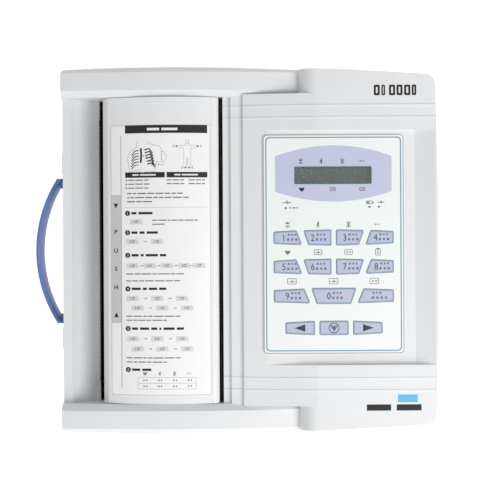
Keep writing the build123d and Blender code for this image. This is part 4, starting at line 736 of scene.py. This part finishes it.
    def _key(self, name: str) -> None:
        """Outline and legend on top of one key."""
        mesh = bpy.data.objects[name].data
        top = max(v.co.z for v in mesh.vertices)
        ring = top_outline(mesh, top)
        art = Artwork(f"{name}_print", name, lambda x, y: top / MM, lift=0.02)
        art.loop(OUTLINE_INK, ring, shrink(ring, self.outline_width))
        xs = [p[0] for p in ring]
        ys = [p[1] for p in ring]
        x, y = (min(xs) + max(xs)) / 2, (min(ys) + max(ys)) / 2
        legend = name[4:]
        if legend.isdigit():
            lean = {"1": -3.0, "4": -3.5, "5": -3.0, "8": -3.0, "9": -3.5}.get(legend, -4.0)
            art.letters(SLATE_INK, legend, x + lean, y, self.digit_height, 1, narrow=0.85)
            art.words(KEY_TEXT_INK, x + lean + 3.2, y + 2.4, 1.5, [1.6, 1.2, 1.4], 1)
            art.words(KEY_TEXT_INK, x + lean + 2.6, y - 1.5, 1.8, [1.8, 1.5, 1.9], 1)
        elif legend == "escape":
            art.words(KEY_TEXT_INK, x - 2.8, y + 2.4, 1.5, [1.5, 1.2, 1.5], 1)
            art.words(KEY_TEXT_INK, x - 3.6, y - 1.5, 1.9, [2.0, 1.7, 1.9, 1.5], 1)
        elif legend == "stop":
            art.loop(SLATE_INK, circle(x, y, 4.3), circle(x, y, 3.7), 1)
            triangle = [(x - 2.9, y + 1.9), (x, y - 2.9), (x + 2.9, y + 1.9)]
            art.loop(SLATE_INK, triangle, shrink(triangle, 0.6), 1)
            inner = [(x - 1.3, y + 0.8), (x, y - 1.4), (x + 1.3, y + 0.8)]
            art.patch(SLATE_INK, inner, 1)
        else:
            hand = -1 if legend == "left" else 1
            tail, tip = x - hand * 4.0, x + hand * 4.7
            art.patch(SLATE_INK, [(tail, y + 3.0), (tail, y - 3.0), (tip, y)], 1)
        art.build()


def top_outline(mesh: bpy.types.Mesh, top: float) -> Ring:
    """Outline of a flat top face, in millimetres, in order round its middle.

    Args:
        mesh: mesh of a convex piece with a flat top.
        top: height of that top in metres.

    Returns:
        The outline's points, without repeats.
    """
    found = {(round(v.co.x / MM, 3), round(v.co.y / MM, 3))
             for v in mesh.vertices if abs(v.co.z - top) < 1e-6}
    x = sum(p[0] for p in found) / len(found)
    y = sum(p[1] for p in found) / len(found)
    return sorted(found, key=lambda p: math.atan2(p[1] - y, p[0] - x))


NODE_NAMES: list[str] = []
BEAD_HEIGHT = 0.5
LUG_PROUD = 1.8


# ---- cover ---------------------------------------------------------------------------------------
def case_top() -> float:
    """Height of the console's plateau in millimetres, under its raised beads."""
    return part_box("top_case")[1].z / MM - BEAD_HEIGHT


@dataclass
class CoverGuide:
    """Guide label on the cover: sheet, figures, numbered steps and the push strip."""

    bevel_run: float = 4.4
    bevel_drop: float = 13.5
    crown_run: float = 63.0
    crown_drop: float = 4.5
    hinge_round: float = 6.0
    hinge_drop: float = 8.5
    label_start: float = 7.0
    label_size: tuple[float, float] = (81.0, 218.4)
    label_shift: float = -7.7
    strip_width: float = 8.4

    def __post_init__(self) -> None:
        """Work out the cover's arch from its box."""
        low, high = (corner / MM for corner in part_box("paper_cover"))
        top = case_top()
        self.left = low.x
        start = Vector((low.x + self.bevel_run, top - self.bevel_drop))
        crown = Vector((low.x + self.crown_run, top - self.crown_drop))
        end = Vector((high.x - self.hinge_round, top - self.hinge_drop))
        self.arc_middle, self.arc_radius = circle_through(start, crown, end)

    def height(self, x: float, y: float) -> float:
        """Height of the cover's arch at x, in millimetres."""
        reach = self.arc_radius ** 2 - (x - self.arc_middle.x) ** 2
        return self.arc_middle.y + math.sqrt(max(0.0, reach))

    def dress(self) -> None:
        """Print the label."""
        width, length = self.label_size
        left = self.left + self.label_start
        art = Artwork("guide_label", "cover", self.height, (left, self.label_shift), lift=0.03, step=3.0)
        half = length / 2
        sheet = rounded(width / 2, 0, width, length, 1.0, 2)
        art.patch(LABEL_STOCK, sheet)
        art.loop(PALE_INK, sheet, shrink(sheet, 0.35), 1)
        self._push_strip(art)
        art.bar(GREY_INK, 8.3, -half + 6.0, 8.7, half - 9.0, 2)
        art.build()
        marks = Artwork("guide_print", "cover", self.height, (left, self.label_shift), lift=0.08, step=4.0)
        self._figures(marks)
        self._steps(marks)
        marks.build()

    def _push_strip(self, art: Artwork) -> None:
        """Arrowheads and the word that tell where to press the cover's edge."""
        x = 4.1
        art.bar(WARM_STOCK, 0.4, -51.0, self.strip_width - 0.3, 53.0, 1)
        art.patch(BLACK_INK, [(x - 1.9, 45.9), (x, 42.0), (x + 1.9, 45.9)], 2)
        art.patch(BLACK_INK, [(x - 1.9, -46.3), (x + 1.9, -46.3), (x, -42.4)], 2)
        for letter, y in zip("PUSH", (22.9, 7.7, -6.9, -22.0)):
            art.letters(BLACK_INK, letter, x, y, 3.6, 2, weight=0.025)

    def _figures(self, art: Artwork) -> None:
        """Header bar, chest and limb figures, and their captions."""
        art.bar(BLACK_INK, 12.0, 102.5, 78.6, 109.0)
        art.words(WHITE_INK, 30.0, 105.7, 2.0, [10.0, 13.0], 1)
        self._chest(art, 29.0, 84.0)
        self._limbs(art, 62.5, 85.0)
        art.bar(BLACK_INK, 12.0, 66.6, 44.4, 71.0)
        art.bar(BLACK_INK, 45.8, 66.6, 78.6, 71.0)
        art.words(WHITE_INK, 18.0, 68.8, 1.2, [5.0, 13.0], 1)
        art.words(WHITE_INK, 52.0, 68.8, 1.2, [5.0, 13.0], 1)
        for index in range(3):
            y = 64.6 - index * 3.2
            art.disc(GREY_INK, 12.9, y, 0.7)
            art.words(GREY_INK, 14.4, y, 0.9, [5.0, 6.5, 3.5 + index % 2])
        for index in range(2):
            y = 64.6 - index * 3.0
            art.words(GREY_INK, 45.8, y, 0.9, [4.0, 5.5, 3.0])
            art.words(GREY_INK, 63.5, y, 0.9, [5.0, 4.0, 2.5])
        for index, run in enumerate(([4, 3, 8, 6, 7, 5, 4, 5], [2, 3, 8, 6, 4, 4, 6, 8, 5], [7, 5, 8])):
            art.words(GREY_INK, 13.6, 53.8 - index * 3.3, 1.0, [length * 0.93 for length in run])
        art.bar(PALE_INK, 12.0, 42.4, 78.6, 42.6)

    def _chest(self, art: Artwork, x: float, y: float) -> None:
        """Headless torso outline with ribs and six contact points."""
        outline = [(-7, 12), (-7.5, 7), (-13, 3), (-15, -2), (-13, -13), (-8, -11), (-3, -13.5), (3, -12),
                   (7, -13), (9, -4), (13.5, -8), (17, 0), (11, 8), (4, 9.5), (1, 12)]
        art.stroke(PALE_INK, [(x + a, y + b) for a, b in outline], 0.35)
        for index in range(6):
            drop = index * 2.3
            level = y - drop
            near = [(x - 1 + index * 0.48, level + 5), (x + 2.5 + index * 0.5, level + 6),
                    (x + 5.4 + index * 0.4, level + 2.5)]
            far = [(x - 6, level + 4.6), (x - 9, level + 4.0), (x - 11.4 - index * 0.1, level + 0.8)]
            art.stroke(BLACK_INK, near, 0.9)
            art.stroke(BLACK_INK, far, 0.55 if index % 2 else 0.75)
        art.stroke(BLACK_INK, [(x - 4, y + 6), (x - 3.7, y + 1), (x - 4.1, y - 5)], 1.5)
        for index, (dx, dy) in enumerate(((-2, 0), (0.5, -1), (3, -4.4), (5, -7), (8, -7.5), (10.5, -7))):
            art.disc(GREY_INK, x + dx, y + dy, 0.55, 1)
            art.disc(GREY_INK, x + 12.8, y + 3.5 - index * 1.6, 0.45, 1)

    def _limbs(self, art: Artwork, x: float, y: float) -> None:
        """Plain standing figure with arms out and a contact on each limb."""
        left = [(-1.3, 9), (-1.3, 7.4), (-9.5, 7.4), (-9.5, 6.4), (-3, 5.4), (-2.7, 0), (-2.8, -11),
                (-0.8, -11)]
        outline = left + [(0, -2)] + [(-a, b) for a, b in reversed(left)]
        art.stroke(PALE_INK, [(x + a, y + b) for a, b in outline], 0.3, closed=True)
        art.loop(PALE_INK, circle(x, y + 10.5, 1.6), circle(x, y + 10.5, 1.3))
        for dx, dy in ((-8.4, 6.9), (8.4, 6.9), (-1.5, -10.4), (1.5, -10.4)):
            art.disc(BLACK_INK, x + dx, y + dy, 0.6, 1)
            side = 1 if dx > 0 else -1
            reach = 3.0
            tail, tip = x + dx + side * reach, x + dx + side * (reach - 0.9)
            art.stroke(GREY_INK, [(tail, y + dy + 0.9), (tip, y + dy), (tail, y + dy - 0.9)], 0.4, 1)

    def _steps(self, art: Artwork) -> None:
        """Six numbered steps, each a heading with key pictures and notes under it."""
        headings = ((37.9, [5, 14]), (22.2, [6, 5, 11]), (3.9, [7, 3, 12, 6]), (-23.2, [9, 4, 8, 7]),
                    (-55.4, [6, 9, 6, 2, 11, 7]), (-88.6, [8, 9]))
        for number, (y, lengths) in enumerate(headings, 1):
            art.disc(BLACK_INK, 13.8, y, 2.1)
            art.letters(WHITE_INK, str(number), 13.8, y, 2.1, 1)
            art.words(BLACK_INK, 17.0, y, 1.9, [length * 0.82 for length in lengths])
        wide, narrow = [18.0, 38.0, 58.0], [22.0, 42.0, 62.0]
        for y, places in ((30.9, [21.0]), (14.9, wide[:2]), (-4.6, [18.0, 32.0, 46.0, 60.0, 72.0]),
                          (-31.0, wide), (-38.8, narrow), (-63.6, wide), (-71.8, narrow)):
            self._key_row(art, y, places)
        for x, y, lengths in ((34.0, 32.1, [4, 7, 2, 5, 4, 7, 3]), (34.0, 28.9, [10]),
                              (12.5, -11.2, [6, 5, 8, 4, 9, 4, 6]), (12.5, -16.8, [4, 5, 4, 7, 8, 6, 5]),
                              (12.5, -45.4, [5, 7, 3, 4, 8, 8, 4]), (12.5, -48.6, [5, 3, 6, 4, 8, 3]),
                              (12.5, -79.0, [5, 7, 3, 4, 8, 8, 4]), (12.5, -82.4, [5, 3, 6, 4, 8, 3])):
            art.words(GREY_INK, x, y, 0.9, lengths)
        self._table(art)

    def _key_row(self, art: Artwork, y: float, places: list[float]) -> None:
        """Small pictures of keys with arrows between them."""
        key_ink = ink("guide_key", (0.70, 0.70, 0.70))
        for index, x in enumerate(places):
            corners = [(x - 5.2, y + 1.9), (x + 4.0, y + 2.1), (x + 5.2, y - 1.9), (x - 5.2, y - 2.1)]
            ring = soften(corners, 0.5)
            art.patch(key_ink, ring)
            art.bar(GREY_INK, x - 2.2, y - 0.9, x - 1.6, y + 0.9, 1)
            art.words(GREY_INK, x - 0.9, y + 0.7, 0.6, [2.6], 1)
            art.words(GREY_INK, x - 0.9, y - 0.6, 0.6, [2.2], 1)
            if index:
                middle = (x + places[index - 1]) / 2
                art.stroke(GREY_INK, [(middle - 1.2, y), (middle + 0.7, y)], 0.4)
                art.patch(GREY_INK, [(middle + 0.5, y + 0.7), (middle + 1.6, y), (middle + 0.5, y - 0.7)])

    def _table(self, art: Artwork) -> None:
        """Two-row settings table with a pictogram over each column."""
        x0, y0, width, height = 21.5, -104.3, 47.5, 9.6
        ring = rounded(x0 + width / 2, y0 + height / 2, width, height, 0.8, 2)
        art.loop(PALE_INK, ring, shrink(ring, 0.3))
        art.bar(PALE_INK, x0, y0 + height / 2 - 0.15, x0 + width, y0 + height / 2 + 0.15)
        for index, icon in enumerate((Icon.HEART, Icon.RUNNER, Icon.FAN, Icon.TAG)):
            x = x0 + 6.0 + index * 12.0
            draw_icon(art, icon, x, y0 + height + 3.0, 3.4, GREY_INK, 0.35)
            for row in (0, 1):
                art.words(GREY_INK, x - 1.4, y0 + 2.4 + row * 4.8, 1.2, [1.2, 1.0])


def circle_through(a: Vector, b: Vector, c: Vector) -> tuple[Vector, float]:
    """Centre and radius of the circle through three points of a plane."""
    d = 2 * (a.x * (b.y - c.y) + b.x * (c.y - a.y) + c.x * (a.y - b.y))
    aa, bb, cc = a.length_squared, b.length_squared, c.length_squared
    x = (aa * (b.y - c.y) + bb * (c.y - a.y) + cc * (a.y - b.y)) / d
    y = (aa * (c.x - b.x) + bb * (a.x - c.x) + cc * (b.x - a.x)) / d
    centre = Vector((x, y))
    return centre, (a - centre).length


# ---- case ----------------------------------------------------------------------------------------
@dataclass
class Case:
    """Moulded shells: soft edges and the plain marks in the two right corners."""

    edge_softness: float = 0.5
    mark_right: float = 17.5
    mark_y: float = 128.0
    mark_height: float = 8.5
    mark_stroke: float = 1.7
    mark_pitch: float = 6.1
    tag: tuple[float, float, float] = (16.0, -122.9, -116.7)
    words_y: float = -127.1
    words_left: float = 58.5

    def dress(self) -> None:
        """Soften the shells' edges and add the two generic marks."""
        for name in ("top_case", "bottom_case", "paper_cover"):
            shell = bpy.data.objects[name]
            soften_edges(shell, self.edge_softness)
        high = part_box("top_case")[1] / MM
        plateau = case_top()
        badge = Artwork("corner_marks", "case", lambda x, y: plateau, (high.x, 0.0), lift=0.03)
        widths = (4.8, 3.0, 5.0, 4.8, 5.0, 3.6)
        left = -self.mark_right - self.mark_pitch * (len(widths) - 1) - widths[-1]
        for index, width in enumerate(widths):
            middle = left + index * self.mark_pitch + width / 2
            ring = rounded(middle, self.mark_y, width, self.mark_height, 1.0, 3)
            badge.loop(BLACK_INK, ring, shrink(ring, min(self.mark_stroke, width / 2 - 0.3)))
        tag_width, tag_low, tag_high = self.tag
        badge.bar(ink("badge_blue", (0.12, 0.5, 0.8)), -self.mark_right - tag_width, tag_low,
                  -self.mark_right, tag_high)
        badge.words(BLACK_INK, -self.words_left, self.words_y, 5.0, [19.5, 20.0])
        badge.build()


def soften_edges(piece: bpy.types.Object, width: float) -> None:
    """Bevel a piece's hard edges and shade it smoothly.

    Args:
        piece: the object.
        width: bevel width in millimetres.
    """
    for face in piece.data.polygons:
        face.use_smooth = True
    bevel = piece.modifiers.new("soft_edges", "BEVEL")
    bevel.width = width * MM
    bevel.segments = 2
    bevel.limit_method = "ANGLE"
    bevel.angle_limit = math.radians(25)
    bevel.harden_normals = True


# ---- handle --------------------------------------------------------------------------------------
@dataclass
class Strap:
    """Bowed strap: a swept section with soft corners, cut square to the case at both ends."""

    half: float = 60.5
    thickness: float = 3.6
    end_gap: float = 3.0
    corner: float = 1.2
    stations: int = 56

    def build(self) -> None:
        """Make the strap and let it stand for the plain one."""
        low, high = (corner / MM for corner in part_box("handle_strap"))
        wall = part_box("bottom_case")[0].x / MM + LUG_PROUD
        far = wall - self.end_gap - self.thickness
        front, peak, rear = (Vector(p) for p in ((far, -self.half), (low.x, 0.0), (far, self.half)))
        middle, radius = circle_through(front, peak, rear)
        section = rounded(0, 0, self.thickness, high.z - low.z, self.corner, 4)
        shape = bmesh.new()
        rings = []
        reach = math.asin(min(1.0, self.half / radius))
        for index in range(self.stations + 1):
            turn = -reach + 2 * reach * index / self.stations
            outward = Vector((-math.cos(turn), math.sin(turn)))
            rings.append([shape.verts.new(self._place(middle, outward, radius, p, (low.z + high.z) / 2))
                          for p in section])
        for first, second in zip(rings, rings[1:]):
            for index in range(len(section)):
                after = (index + 1) % len(section)
                shape.faces.new([first[index], first[after], second[after], second[index]])
        shape.faces.new(rings[0][::-1])
        shape.faces.new(rings[-1])
        for side in (-1, 1):
            self._tongue(shape, wall, side, low.z, high.z)
        bmesh.ops.recalc_face_normals(shape, faces=shape.faces)
        mesh = bpy.data.meshes.new("strap_handle")
        shape.to_mesh(mesh)
        shape.free()
        mesh.materials.append(STRAP.material())
        for face in mesh.polygons:
            face.use_smooth = len(face.vertices) == 4
        piece = bpy.data.objects.new("strap_handle", mesh)
        bpy.context.scene.collection.objects.link(piece)
        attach(piece, "case")
        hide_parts("handle_strap")
        edge = piece.modifiers.new("cut_edges", "EDGE_SPLIT")
        edge.split_angle = math.radians(40)
        LOG.info("strap handle: %d faces", len(mesh.polygons))

    def _place(self, middle: Vector, outward: Vector, radius: float, point: Point, height: float) -> Vector:
        """Point of the section at one station, in metres."""
        flat = middle + outward * (radius - self.thickness / 2 + point[0])
        return Vector((flat.x, flat.y, height + point[1])) * MM

    def _tongue(self, shape: bmesh.types.BMesh, wall: float, side: int, low: float, high: float) -> None:
        """Tongue that carries one end of the strap through the case wall."""
        inset, width, depth = 4.0, 8.0, 16.5
        outer = side * self.half
        x0, x1 = wall - self.end_gap - self.thickness / 2, wall + depth
        y0, y1 = sorted((outer - side * 0.2, outer - side * width))
        z0, z1 = low + inset, high - inset
        verts = [shape.verts.new(Vector((x, y, z)) * MM)
                 for x in (x0, x1) for y in (y0, y1) for z in (z0, z1)]
        for quad in ((0, 1, 3, 2), (4, 6, 7, 5), (0, 4, 5, 1), (2, 3, 7, 6), (0, 2, 6, 4), (1, 5, 7, 3)):
            shape.faces.new([verts[index] for index in quad])


# ---- studio --------------------------------------------------------------------------------------
@dataclass
class Studio:
    """Plain white floor, soft lamps and the camera straight above."""

    camera_height: float = 1.05
    view_plane: float = 0.08
    view_width: float = 0.4065
    roll: float = 0.3
    body_half_length: float = 0.1525
    lead: float = 0.0008
    floor_glow: float = 0.5

    def build(self) -> None:
        """Add the floor, lamps, sky and camera."""
        self._floor()
        self._lamp("key_lamp", (0.85, -0.4, 1.0), 0.6, 9.5)
        self._lamp("fill_lamp", (-0.3, -1.15, 0.9), 0.9, 4.5)
        world = bpy.data.worlds.new("studio_sky")
        world.use_nodes = True
        world.node_tree.nodes["Background"].inputs["Color"].default_value = (1.0, 1.0, 1.0, 1.0)
        world.node_tree.nodes["Background"].inputs["Strength"].default_value = 0.5
        bpy.context.scene.world = world
        bpy.context.scene.view_settings.view_transform = "Standard"
        self._camera()

    def _floor(self) -> None:
        """Wide white floor, faintly lit from within, just under the feet."""
        mesh = bpy.data.meshes.new("studio_floor")
        reach = 4.0
        mesh.from_pydata([(-reach, -reach, 0), (reach, -reach, 0), (reach, reach, 0), (-reach, reach, 0)], [],
                         [(0, 1, 2, 3)])
        floor = bpy.data.objects.new("studio_floor", mesh)
        white = Finish("floor", (0.95, 0.95, 0.95), 0.9, mottle=0.0, grain_depth=0.0).material()
        shader = next(node for node in white.node_tree.nodes if node.type == "BSDF_PRINCIPLED")
        shader.inputs["Emission Color"].default_value = (1.0, 1.0, 1.0, 1.0)
        shader.inputs["Emission Strength"].default_value = self.floor_glow
        mesh.materials.append(white)
        bpy.context.scene.collection.objects.link(floor)

    def _lamp(self, name: str, place: tuple[float, float, float], size: float, power: float) -> None:
        """Square soft lamp aimed at the object."""
        lamp = bpy.data.lights.new(name, "AREA")
        lamp.size = size
        lamp.energy = power
        holder = bpy.data.objects.new(name, lamp)
        holder.location = place
        aim = Vector((0.0, 0.0, self.view_plane)) - Vector(place)
        holder.rotation_euler = aim.to_track_quat("-Z", "Y").to_euler()
        bpy.context.scene.collection.objects.link(holder)

    def _camera(self) -> None:
        """Camera looking straight down, a hair to the right of the body's middle."""
        camera = bpy.data.cameras.new("camera")
        camera.angle = 2 * math.atan(self.view_width / 2 / self.camera_height)
        holder = bpy.data.objects.new("camera", camera)
        middle_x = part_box("bottom_case")[1].x - self.body_half_length + self.lead
        holder.location = (middle_x, 0.0, self.view_plane + self.camera_height)
        holder.rotation_euler = (0.0, 0.0, -math.radians(self.roll))
        bpy.context.scene.collection.objects.link(holder)
        bpy.context.scene.camera = holder


def dress_nodes(nodes: dict[str, bpy.types.Object]) -> None:
    """Give every CAD node its finish."""
    for name, piece in nodes.items():
        finish = KEY if name.startswith("key_") and name not in NODE_FINISHES else NODE_FINISHES[name]
        piece.data.materials.clear()
        piece.data.materials.append(finish.material())


def main() -> None:
    """Load the frame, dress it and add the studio."""
    logging.basicConfig(level=logging.INFO, format="%(name)s: %(message)s")
    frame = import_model()
    NODE_NAMES.extend(sorted(frame["nodes"]))
    dress_nodes(frame["nodes"])
    Case().dress()
    CoverGuide().dress()
    Keypad().dress()
    Strap().build()
    Studio().build()
    LOG.info("object ready")


if __name__ == "__main__":
    main()
